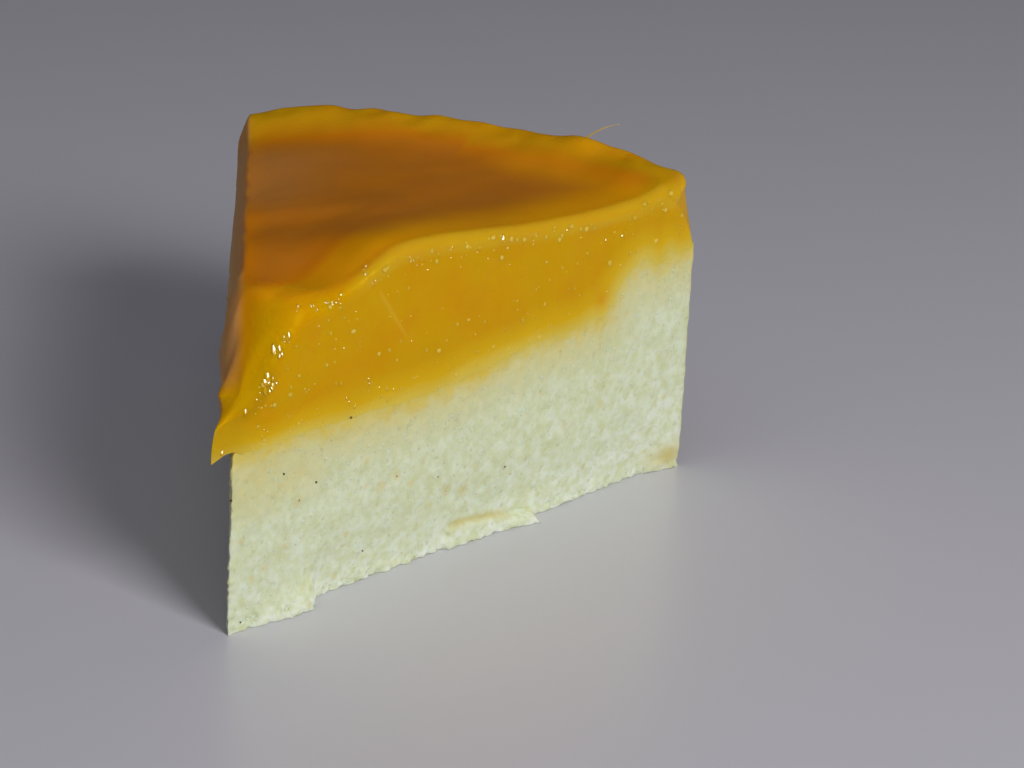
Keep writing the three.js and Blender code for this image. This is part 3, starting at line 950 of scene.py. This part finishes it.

# %% [markdown]
# ## What the curd's finish needs to know
#
# A browner skin lies on the top and stops short of the edges: partly a drier skin, partly painted shade
# that makes the top browner and redder where light grazes it. A painted glow brightens the rim and the
# strips just behind the lip and the nose. The lip is painted pale, a painted highlight. The front is
# painted in shade on its left, its ridge is painted darker as painted shade, and the chipped strip is
# dull and carries a painted mauve sheen. Each of these zones is made of windows that overlap: a window
# names a measure, such as the distance from the tip, and the places where it opens and closes.

# %% Zones of the curd
RIM_START = ((-25, -7, 25), (66, 76, 81))
CREST = ((-25, 0, 25), (11.5, 12.5, 13.5))
TOP_ZONES = {
    "left": dict(degrees=(8, -12)),
    "wide_lip": dict(r=(24, 42)),
    "lip": dict(inside=(2.4, 0.6), r=(18, 28)),
    "behind_lip": dict(inside=(0.6, 3, 3, 15), r=(15, 25, 76, 85), degrees=(2, 8)),
    "behind_nose": dict(past_crest=(-3, 0), from_right=(1, 3), degrees=(-14, 2)),
    "bright_rim": dict(degrees=(-22, 10)),
    "rim_end": dict(degrees=(23, 17)),
    "shade": dict(degrees=(8, -23), from_tip=(15, 11), r=(2, 6)),
    "ridge": dict(from_right=(2, 0.6), from_tip=(0.5, 2, 6, 9)),
    "streak": dict(from_tip=(2.5, 4, 8.5, 10.5)),
    "chip": dict(from_left=(1.9, 0.9), r=(3, 8)),
    "left_sheen": dict(degrees=(-6, -22), r=(38, 50, 66, 80)),
}
SIDE_ZONES = {
    "lip": dict(below=(1.2, 0.3), r=(18, 28)),
    "ridge": dict(below=(3, 0.5), r=(0.5, 2, 6, 9)),
    "drip": dict(r=(6, 1.5)),
    "tip": dict(r=(20, 8)),
    "off_seam": dict(above=(1, 6)),
    "deep": dict(below=(4, 8)),
}


def zone_shares(zones, measures):
    """How much each point lies in each zone, from 0 to 1: the product of the zone's windows."""
    return {
        zone: math.prod(window(measures[name], *ends) for name, ends in windows.items())
        for zone, windows in zones.items()
    }


top_degrees = np.degrees(top_angle)
from_tip = top_r * np.cos(top_angle)
past_crest = from_tip - np.interp(top_degrees, *CREST)
inside = np.broadcast_to(TOP_DISTANCES[:, None], top_r.shape)
right_half = top_angle > 0
top = zone_shares(TOP_ZONES, dict(
    r=top_r, degrees=top_degrees, inside=inside, from_tip=from_tip, past_crest=past_crest,
    from_right=from_right_cut(top_r, top_angle), from_left=from_right_cut(top_r, -top_angle),
))
side = zone_shares(SIDE_ZONES, dict(r=curd_r, above=curd_above, below=below_edge))
print("zones on top:", sorted(top), "and on the sides:", sorted(side))

# %% Skin, painted shade and painted glow
# The skin value is partly a drier skin and partly painted shade: it makes the top browner and redder,
# standing in for light that grazes the top and goes deep into the gel.
SKIN_AND_SHADE = Sizes(
    lip=1.0, wider=2.5, left_lip=0.7, reach=12, left_reach=5, wall=3,
    near=0.6, left_more=0.32, wave=(4, 9, 76), full=(24, 44),
    before_crest=2, behind_crest=9, left_less=4,
)
FIRST_SKIN, MORE_SKIN = (0.6, 1.6), 1.5
PAINTED_RIM_GLOW = Sizes(inside=2, outside=1, least=0.15, more=0.55)
PAINTED_NOSE_GLOW = Sizes(behind=0.5, reach=3, share=0.85)

rim_start = np.interp(top_degrees, *RIM_START)
lip_reach = np.where(right_half, SKIN_AND_SHADE.lip + SKIN_AND_SHADE.wider * top["wide_lip"], SKIN_AND_SHADE.left_lip)
skin_reach = np.where(right_half, SKIN_AND_SHADE.reach, SKIN_AND_SHADE.left_reach)
skin = rise(inside, *[share * lip_reach for share in FIRST_SKIN])
skin += rise(inside, MORE_SKIN * lip_reach, skin_reach)
skin = skin / 2 * fall(top_r, rim_start, CAKE_RADIUS - SKIN_AND_SHADE.wall)
near_skin = SKIN_AND_SHADE.near + SKIN_AND_SHADE.left_more * top["left"]
skin *= mix(near_skin, 1, rise(top_r + waves(curd_upper, SKIN_AND_SHADE.wave), *SKIN_AND_SHADE.full))
skin_end = SKIN_AND_SHADE.behind_crest - SKIN_AND_SHADE.left_less * top["left"]
skin *= rise(past_crest, -SKIN_AND_SHADE.before_crest, skin_end)
# Painted glow: the rim and the strips behind the lip and the nose crest are painted a brighter orange,
# standing in for light through the gel where the surface faces away from the light.
rim = rise(top_r, rim_start + PAINTED_RIM_GLOW.inside, CAKE_RADIUS - PAINTED_RIM_GLOW.outside) * top["rim_end"]
rim *= PAINTED_RIM_GLOW.least + PAINTED_RIM_GLOW.more * top["bright_rim"]
behind_nose = hump(past_crest - PAINTED_NOSE_GLOW.behind, PAINTED_NOSE_GLOW.reach) * top["behind_nose"]
painted_glow = np.maximum(np.maximum(rim, top["behind_lip"]), PAINTED_NOSE_GLOW.share * behind_nose)
print("skin covers", round(100 * float(np.mean(skin > 0.5))), "% of the points on top")

# %% Curd values for the finish
DARK_SPOT = Sizes(r=69.8, z=32.8, wide=1.5, share=0.5)
DULL = Sizes(plain=0.2, nose=0.6, streak=-0.36, nose_end=16, ridge=0.85)
DRIP_TINT = Sizes(ridge=0.75, tone=-0.45)
LEFT_TINT = Sizes(deep=-0.75, sheen=0.3)
TIP_TONE = 0.5
TONE_WAVE = (0.7, 5, 77)
TOP_TONE = 9.0


def curd_value(on_sides, on_top):
    """A value for each point of the curd: none for its hidden floor, then those of sides and top."""
    floor = np.zeros(curd_lower.shape[:2])
    return with_poles(np.concatenate([floor, on_sides + 0 * curd_z, on_top + 0 * top_r]))


spot_distance = np.hypot(curd_r - DARK_SPOT.r, curd_z - DARK_SPOT.z)
dark_spot = DARK_SPOT.share * hump(spot_distance, DARK_SPOT.wide) * on_right
drip_share = side["drip"] * on_right
# The nose's ridge and the drip's side are painted darker, a painted shade.
side_ridge = np.maximum(side["ridge"] * on_right, DRIP_TINT.ridge * drip_share)
# The upper left face carries a painted mauve sheen, as the chipped strip and a little of the top's left do.
left_tint = on_left * side["off_seam"] * (1 + LEFT_TINT.deep * side["deep"])
dull = np.where(from_tip < DULL.nose_end, DULL.nose + DULL.streak * top["streak"], DULL.plain)
dull = np.maximum(np.maximum(dull, DULL.ridge * top["ridge"]), top["chip"])
curd_tone = curd_above * (1 + TIP_TONE * side["tip"]) * (1 + DRIP_TINT.tone * drip_share)
curd_values = {
    "above": curd_value(curd_tone + waves(curd_sides, TONE_WAVE), TOP_TONE),
    "skin": curd_value(0, skin),
    # The lip value places a painted highlight along the rounded edge of the right cut.
    "lip": curd_value(side["lip"] * on_right, top["lip"] * right_half),
    "painted_glow": curd_value(0, painted_glow),
    "shade": curd_value(dark_spot, top["shade"]),
    "ridge": curd_value(side_ridge, top["ridge"]),
    "chip": curd_value(soften(left_tint, 4), np.maximum(top["chip"], LEFT_TINT.sheen * top["left_sheen"])),
    "crease": curd_value(crease * on_right, 0),
    "dull": curd_value(np.where(on_left, 1.0, DULL.plain), dull),
}
print("curd values:", sorted(curd_values))

# %% [markdown]
# ## Curd finish
#
# Fruit curd is a translucent gel: light enters it, turns from lemon to deep orange on its way, and
# comes out again. Subsurface scattering whose red goes furthest and whose blue hardly goes at all does
# that. Some of that light is also painted into the colour: a painted glow, painted shade, a painted
# highlight on the lip and a painted sheen on the left. The wet surface is smooth, and what it mirrors
# is tinted yellow, so it stays rich in colour.

# %% Curd material
DEEP_ORANGE = (0.735, 0.238, 0.001)
# Partly a drier skin, partly painted shade on the top.
BROWN_SKIN_AND_SHADE = (0.62, 0.212, 0.012)
# Painted highlight: the pale tone of the lip along the right cut; the bubbles and the strand also use it as
# their own colour.
PALE_LIP = (0.72, 0.47, 0.025)
BUBBLE_PALE = (0.86, 0.60, 0.07)
# Painted glow: a brighter orange for the rim and the strips behind the lip and the nose.
PAINTED_GLOW = (0.92, 0.40, 0.0005)
SHADED = (0.74, 0.25, 0.0015)
# Painted shade: a darker tone for the ridge of the nose and the side of the drip.
PAINTED_RIDGE_SHADE = (0.46, 0.255, 0.001)
# Painted sheen: a mauve tone that stands in for the floor mirrored in the chipped strip, the upper left
# face and the top's left.
PAINTED_MAUVE_SHEEN = (0.74, 0.37, 0.125)
SKIN_AND_SHADE_TINTS = (("skin", DEEP_ORANGE, 1.0, (0.0, 0.5)), ("skin", BROWN_SKIN_AND_SHADE, 1.0, (0.5, 1.0)))
CURD_TINTS = (
    ("lip", PALE_LIP, 0.5), ("painted_glow", PAINTED_GLOW), ("shade", SHADED, 0.75), ("ridge", PAINTED_RIDGE_SHADE, 0.5),
    ("chip", PAINTED_MAUVE_SHEEN), ("crease", BUBBLE_PALE, 0.45),
)
DULLNESS = (0.15, 0.6)
GEL_CLOUDS = Sizes(size=9.0, span=(0.45, 0.65), heights=(3.0, 7.0), share=0.25)
CLEAR_GEL = Sizes(heights=(0.5, 5.0), weight=0.8)
WET_GRAIN = Sizes(size=0.7, depth=0.07, skin=(0.0, 0.6), strength=(1.0, 0.15))

made, curd_inputs = new_finish("fruit_curd", 0.2, {
    "Specular IOR Level": 0.3,
    "Specular Tint": (1.0, 0.85, 0.02),
    "Subsurface Radius": (1.0, 0.6, 0.1),
    "Subsurface Scale": 2.0 * MM,
})
above = point_value(made, "above")
colour = layer_tone(made)
for tint in SKIN_AND_SHADE_TINTS:
    colour = tinted(made, colour, *tint)
clouds = between(made, mottling(made, GEL_CLOUDS.size), *GEL_CLOUDS.span)
cloudy = laid_over(made, clouds, colour, DEEP_ORANGE)
cloud_share = between(made, above, *GEL_CLOUDS.heights, 0.0, GEL_CLOUDS.share)
colour = laid_over(made, cloud_share, colour, cloudy)
for tint in CURD_TINTS:
    colour = tinted(made, colour, *tint)
feed(made, curd_inputs["Base Color"], colour)
feed(made, curd_inputs["Roughness"], between(made, point_value(made, "dull"), 0.0, 1.0, *DULLNESS))
clearness = between(made, above, *CLEAR_GEL.heights, 0.0, CLEAR_GEL.weight)
feed(made, curd_inputs["Subsurface Weight"], clearness)
wet_grain = between(made, point_value(made, "skin"), *WET_GRAIN.skin, *WET_GRAIN.strength)
fine_bump(made, curd_inputs, mottling(made, WET_GRAIN.size), WET_GRAIN.depth, wet_grain)

fruit_curd = add_skin("fruit_curd", curd_rings, made, curd_values)
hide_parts("curd_topping")

# %% [markdown]
# ## Grains, specks, beads and bubbles
#
# Close up, a cut semolina cake shows single swollen grains and a few dark specks of vanilla. Wet curd
# holds tiny beads of syrup that catch the light, and bubbles that the knife opened. There are many of
# them, so each is a small pebble: a sphere of a few rings, stretched, turned and dented at random with
# a fixed seed. All the pebbles of one kind are joined in one mesh.

# %% Pebble helper
draw = np.random.default_rng(20)
SIDES_DRAWN = (-1.0, 1.0, 1.0)


def turned_at_random(count):
    """Random rotation matrices, from unit quaternions with normally drawn parts."""
    a, b, c, d = np.moveaxis(unit(draw.normal(size=(count, 4))), 1, 0)
    rows = [
        [1 - 2 * (c * c + d * d), 2 * (b * c - a * d), 2 * (b * d + a * c)],
        [2 * (b * c + a * d), 1 - 2 * (b * b + d * d), 2 * (c * d - a * b)],
        [2 * (b * d - a * c), 2 * (c * d + a * b), 1 - 2 * (b * b + c * c)],
    ]
    return np.moveaxis(np.array(rows), 2, 0)


def pebbles(name, centres, sizes, finish, turns, rings=3, sides=7, roughness=0.15, values=None):
    """Joined pebbles: spheres given by ring and side, dented, stretched, turned and placed."""
    count = len(centres)
    lift = np.linspace(-math.pi / 2, math.pi / 2, rings + 2)[1:-1]
    turn = np.linspace(0, 2 * math.pi, sides, endpoint=False)
    lift, turn = np.meshgrid(lift, turn, indexing="ij")
    ball = joined(np.cos(lift) * np.cos(turn), np.cos(lift) * np.sin(turn), np.sin(lift))
    ball = np.concatenate([ball.reshape(-1, 3), [[0, 0, -1], [0, 0, 1]]])
    dents = 1 + roughness * draw.uniform(-1, 1, (count, len(ball), 1))
    shaped = ball * dents * sizes[:, None, :]
    placed = np.einsum("nij,npj->npi", turns, shaped) + centres[:, None, :]
    offsets = (np.arange(count) * len(ball))[:, None, None]
    faces = [(kind + offsets).reshape(-1, kind.shape[1]) for kind in skin_faces(rings, sides)]
    own = {label: np.repeat(numbers, len(ball)) for label, numbers in (values or {}).items()}
    return add_piece(name, placed.reshape(-1, 3), faces, finish, own)


def stretched(radii, share=0.3):
    """Three half-widths for each pebble, each longer or shorter than its radius by up to this share."""
    return radii[:, None] * (1 + share * draw.uniform(-1, 1, (len(radii), 3)))


def on_cut(r, z, side):
    """Places on the flat cut faces, right (1) or left (-1), and the level directions out of them."""
    out = joined(side * math.cos(HALF_ANGLE), -math.sin(HALF_ANGLE), 0.0)
    return with_height(plan_point(r, side * HALF_ANGLE), z), out


print("a pebble of 3 rings and 7 sides has", triangle_count(skin_faces(3, 7)), "triangles")

# %% Semolina grains on the cut faces
GRAIN_COUNT = 8000
GRAIN_RADII = (0.18, 0.42)
GRAIN_SPAN = (0.05, 0.985)
GRAIN_FOOT, TORN_GRAIN_FOOT = 0.4, 5.0
GRAIN_LAP = 1.2
GRAIN_SUNK = 0.8
TEARS = ((12, 17), (38, 61), (83, CAKE_RADIUS))
PALE_GRAIN = (0.80, 0.86, 0.68)
YELLOW_GRAIN = (0.765, 0.77, 0.40)
YELLOW_POWER = 1.5
OWN_HEIGHTS, OWN_SHARES = (-7.0, -1.5), (0.8, 0.1)

grain_r = CAKE_RADIUS * draw.uniform(*GRAIN_SPAN, GRAIN_COUNT) ** TIP_CROWDING
grain_side = draw.choice(SIDES_DRAWN, GRAIN_COUNT)
grain_angle = grain_side * HALF_ANGLE
near_tear = np.any([(grain_r > start) & (grain_r < end) for start, end in TEARS], axis=0)
grain_foot = np.where((grain_side > 0) & near_tear, TORN_GRAIN_FOOT, GRAIN_FOOT)
grain_top = dish_height(grain_r, grain_angle) + GRAIN_LAP
grain_z = mix(grain_foot, grain_top, draw.uniform(0, 1, GRAIN_COUNT))
grain_places, grain_out = on_cut(grain_r, grain_z, grain_side)
grain_radius = draw.uniform(*GRAIN_RADII, GRAIN_COUNT)
grain_proud = crumb_relief(grain_places)[0] + np.where(grain_side > 0, torn_foot(grain_r, grain_z), 0)
grain_seam = seam_height(grain_r, grain_angle, grain_z)
grain_proud *= fall(grain_seam, *RELIEF_END)
grain_centres = grain_places + (grain_proud - GRAIN_SUNK * grain_radius)[:, None] * grain_out

made, grain_inputs = new_finish("semolina_grain", 0.6, {
    "Specular IOR Level": 0.3,
    "Subsurface Weight": 0.2,
    "Subsurface Scale": 0.6 * MM,
})
grain_own = laid_over(made, point_value(made, "tone"), PALE_GRAIN, YELLOW_GRAIN)
grain_deep = between(made, point_value(made, "above"), *OWN_HEIGHTS, *OWN_SHARES)
feed(made, grain_inputs["Base Color"], laid_over(made, grain_deep, layer_tone(made), grain_own))
semolina_grains = pebbles(
    "semolina_grains", grain_centres, stretched(grain_radius), made, turned_at_random(GRAIN_COUNT),
    rings=2, sides=5,
    values={
        "above": soaked_height(grain_places, grain_r, grain_seam),
        "tone": draw.uniform(0, 1, GRAIN_COUNT) ** YELLOW_POWER,
    },
)

# %% Vanilla specks
SPECKS_SEEN = np.array([
    (9.4, 21.9, 0.22, 0.0), (15.1, 19.0, 0.22, 0.0), (12.0, 17.2, 0.17, 0.6), (0.3, 20.6, 0.26, 0.1),
    (21.1, 27.2, 0.2, 0.3), (1.9, 1.5, 0.2, 0.2), (23.8, 5.6, 0.2, 0.7), (51.2, 10.8, 0.22, 0.5),
    (30.0, 15.5, 0.16, 0.9), (37.9, 13.1, 0.16, 0.8),
])
HIDDEN_SPECKS = 9
HIDDEN_RANGES = ((8, 85), (3, 25), (0.15, 0.24), (0, 1))
SPECK_SHRINK = 0.7
SPECK_PROUD = 0.04
DARK_VANILLA = (0.025, 0.018, 0.012)
PALE_VANILLA = (0.42, 0.30, 0.12)

hidden = [draw.uniform(*limits, HIDDEN_SPECKS) for limits in HIDDEN_RANGES]
speck_r, speck_z, speck_size, speck_tone = np.concatenate([SPECKS_SEEN.T, hidden], axis=1)
speck_side = np.repeat([1.0, -1.0], [len(SPECKS_SEEN), HIDDEN_SPECKS])
speck_places, speck_out = on_cut(speck_r, speck_z, speck_side)
speck_centres = speck_places + (crumb_relief(speck_places)[0] + SPECK_PROUD)[:, None] * speck_out

made, vanilla_inputs = new_finish("vanilla_speck", 0.6)
speck_colour = laid_over(made, point_value(made, "tone"), DARK_VANILLA, PALE_VANILLA)
feed(made, vanilla_inputs["Base Color"], speck_colour)
vanilla_specks = pebbles(
    "vanilla_specks", speck_centres, stretched(SPECK_SHRINK * speck_size), made,
    turned_at_random(len(speck_r)), values={"tone": speck_tone},
)

# %% Helpers for what sits on the curd


def first_hits(piece, starts, ways):
    """Which lines from the starts along the ways meet a piece, where, and the directions out there."""
    bpy.context.view_layer.update()
    lines = [(Vector(start) * MM, Vector(way).normalized()) for start, way in zip(starts, ways)]
    hits = [piece.ray_cast(*line) for line in lines]
    met = np.array([hit[0] for hit in hits])
    places = np.array([hit[1] for hit in hits]) / MM
    return met, places[met], np.array([hit[2] for hit in hits])[met]


def facing(directions):
    """Rotation matrices whose third axis points along each direction."""
    axis = unit(directions)
    side = unit(np.cross(axis, np.array([0.0, 0.0, 1.0])))
    return np.stack([side, np.cross(axis, side), axis], axis=2)


def two_tone(name, roughness, gloss, first, second):
    """A finish whose colour goes from one tone to another in clouds of three millimetres."""
    material, inputs = new_finish(name, roughness, {"Specular IOR Level": gloss})
    clouds = between(material, mottling(material, 3.0, 1), 0.4, 0.6)
    feed(material, inputs["Base Color"], laid_over(material, clouds, first, second))
    return material


print("a bead or bubble sits where a line first meets", fruit_curd.name)

# %% Beads of syrup on the curd
BEADS_SEEN = np.array([
    (11.4, 46.2, 3, 1.0), (9.9, 42.0, 6, 1.7), (8.2, 39.9, 5, 1.9), (6.4, 37.0, 8, 2.0),
    (6.0, 35.8, 6, 2.1), (7.3, 36.1, 4, 1.8), (4.6, 34.7, 3, 1.0), (2.6, 33.3, 1, 2.0),
    (14.1, 45.7, 5, 1.0), (17.1, 45.3, 5, 1.1), (18.6, 45.2, 4, 1.1), (20.0, 42.8, 2, 0.8),
    (23.2, 48.2, 5, 1.2), (25.0, 46.4, 3, 1.2), (28.7, 44.3, 3, 1.0), (31.0, 48.4, 2, 1.0),
    (35.1, 44.9, 2, 0.8), (38.7, 48.0, 2, 1.2), (42.5, 47.6, 3, 0.9), (48.9, 47.3, 1, 2.8),
    (55.1, 46.2, 2, 1.2), (61.2, 45.4, 2, 1.3), (69.6, 42.7, 2, 1.4), (73.1, 42.3, 1, 1.5),
    (-1.3, 28.3, 1, 1.8), (6.1, 29.9, 2, 0.8), (10.4, 30.5, 2, 0.9), (15.7, 28.4, 2, 1.0),
    (20.1, 30.1, 2, 1.0), (21.9, 29.0, 2, 1.0), (24.6, 31.1, 2, 1.5), (28.9, 29.4, 1, 1.2),
    (39.6, 29.6, 2, 0.9),
])
BEAD_SPREAD = 0.45
LOOSE_BEADS = 60
LOOSE_BEAD = Sizes(r=(6, 86), inside=1, scale=0.8)
BEAD_LEAN = 0.07
BEAD_WIDTHS = (0.1, 0.28)
BEAD_SIDES = (0.5, 1)
LONG_BEAD = Sizes(scale=1.6, length=(1, 2.2))
BEAD_FLATNESS = 0.2
BEAD_SUNK = 0.08

groups = np.repeat(BEADS_SEEN, BEADS_SEEN[:, 2].astype(int), axis=0)
alone = groups[:, 2:3] == 1
groups[:, :2] += np.where(alone, 0, BEAD_SPREAD) * draw.normal(size=(len(groups), 2))
loose_r = draw.uniform(*LOOSE_BEAD.r, LOOSE_BEADS)
loose_low = dish_height(loose_r, HALF_ANGLE + 0 * loose_r) + LOOSE_BEAD.inside
loose_high = curd_top(loose_r, HALF_ANGLE + 0 * loose_r) - LOOSE_BEAD.inside
loose_z = mix(loose_low, loose_high, draw.uniform(0, 1, LOOSE_BEADS))
bead_r = np.concatenate([groups[:, 0], loose_r])
bead_z = np.concatenate([groups[:, 1], loose_z])
bead_targets = on_cut(bead_r, bead_z, np.ones(len(bead_r)))[0]
eye = np.array(CAMERA_PLACE) / MM
met, bead_places, bead_out = first_hits(fruit_curd, eye + 0 * bead_targets, bead_targets - eye)
bead_scale = np.concatenate([groups[:, 3], np.full(LOOSE_BEADS, LOOSE_BEAD.scale)])[met]
bead_count = len(bead_places)
bead_lean = unit(unit(eye - bead_places) + np.array(LIGHT_SIDE))
bead_lean += BEAD_LEAN * draw.normal(size=bead_lean.shape)
bead_width = bead_scale * draw.uniform(*BEAD_WIDTHS, bead_count)
bead_long = np.where(bead_scale > LONG_BEAD.scale, draw.uniform(*LONG_BEAD.length, bead_count), 1)
bead_shape = joined(draw.uniform(*BEAD_SIDES, bead_count), bead_long, BEAD_FLATNESS)
bead_sizes = bead_width[:, None] * bead_shape
bead_places -= BEAD_SUNK * bead_width[:, None] * bead_out

syrup_finish = two_tone("syrup_bead", 0.1, 1.0, GOLDEN, PALE_CURD)
syrup_beads = pebbles(
    "syrup_beads", bead_places, bead_sizes, syrup_finish, facing(bead_lean),
    rings=5, sides=8, roughness=0.05,
)

# %% Bubbles cut open in the curd
BUBBLE_COUNT = 280
BUBBLE_RADII = (0.12, 0.42)
BUBBLE_SPAN = (4, 86)
BUBBLE_LOWEST = 0.6
BUBBLE_BELOW_TOP = Sizes(right=0.8, left=6)
BUBBLE_POWER = 1.2
LIP_BUBBLES = Sizes(share=0.35, start=20, below=(0.2, 2.6))
BUBBLE_FLATNESS = (1, 1, 0.25)
LINE_START = 30

bubble_r = draw.uniform(*BUBBLE_SPAN, BUBBLE_COUNT)
bubble_side = draw.choice(SIDES_DRAWN, BUBBLE_COUNT)
on_right_cut = bubble_side > 0
bubble_low = dish_height(bubble_r, bubble_side * HALF_ANGLE) + BUBBLE_LOWEST
bubble_high = curd_top(bubble_r, bubble_side * HALF_ANGLE)
bubble_high -= np.where(on_right_cut, BUBBLE_BELOW_TOP.right, BUBBLE_BELOW_TOP.left)
bubble_z = mix(bubble_low, bubble_high, draw.uniform(0, 1, BUBBLE_COUNT) ** BUBBLE_POWER)
under_lip = draw.uniform(0, 1, BUBBLE_COUNT) < LIP_BUBBLES.share
under_lip = under_lip & on_right_cut & (bubble_r > LIP_BUBBLES.start)
bubble_z = np.where(under_lip, bubble_high - draw.uniform(*LIP_BUBBLES.below, BUBBLE_COUNT), bubble_z)
bubble_targets, bubble_ways = on_cut(bubble_r, bubble_z, bubble_side)
bubble_starts = bubble_targets + LINE_START * bubble_ways
met, bubble_places, bubble_out = first_hits(fruit_curd, bubble_starts, -bubble_ways)
bubble_radius = mix(*BUBBLE_RADII, draw.uniform(0, 1, len(bubble_places)) ** 2)
bubble_sizes = stretched(bubble_radius) * BUBBLE_FLATNESS

bubble_finish = two_tone("curd_bubble", 0.3, 0.3, PALE_LIP, BUBBLE_PALE)
curd_bubbles = pebbles(
    "curd_bubbles", bubble_places, bubble_sizes, bubble_finish, facing(bubble_out),
    rings=4, sides=8, roughness=0.1,
)

# %% [markdown]
# ## A strand at the rim
#
# Where the curd pulled away from the tin, one thin strand was left standing on the rim. It is a circle
# carried along a gently bent path and tapered to a point.

# %% Curd strand
STRAND_ROOT = np.array([17.4, 41.6, 48.6])
STRAND_TIP = np.array([22.6, 43.6, 51.4])
STRAND_BEND = np.array([0, 0, 0.5])
STRAND_STEPS, STRAND_SIDES = 14, 8
STRAND_RADIUS = 0.13
STRAND_TAPER = 0.8

along = np.linspace(0, 1, STRAND_STEPS)[:, None]
strand_path = mix(STRAND_ROOT, STRAND_TIP, along) + STRAND_BEND * np.sin(np.pi * along)
strand_axes = facing(np.gradient(strand_path, axis=0))
strand_turn = np.linspace(0, 2 * math.pi, STRAND_SIDES, endpoint=False)
circle = joined(np.cos(strand_turn), np.sin(strand_turn))
strand_width = STRAND_RADIUS * (1 - STRAND_TAPER * along[..., None])
strand_rings = strand_path[:, None] + strand_width * np.einsum("sij,pj->spi", strand_axes[:, :, :2], circle)
curd_strand = add_skin("curd_strand", strand_rings, bubble_finish)
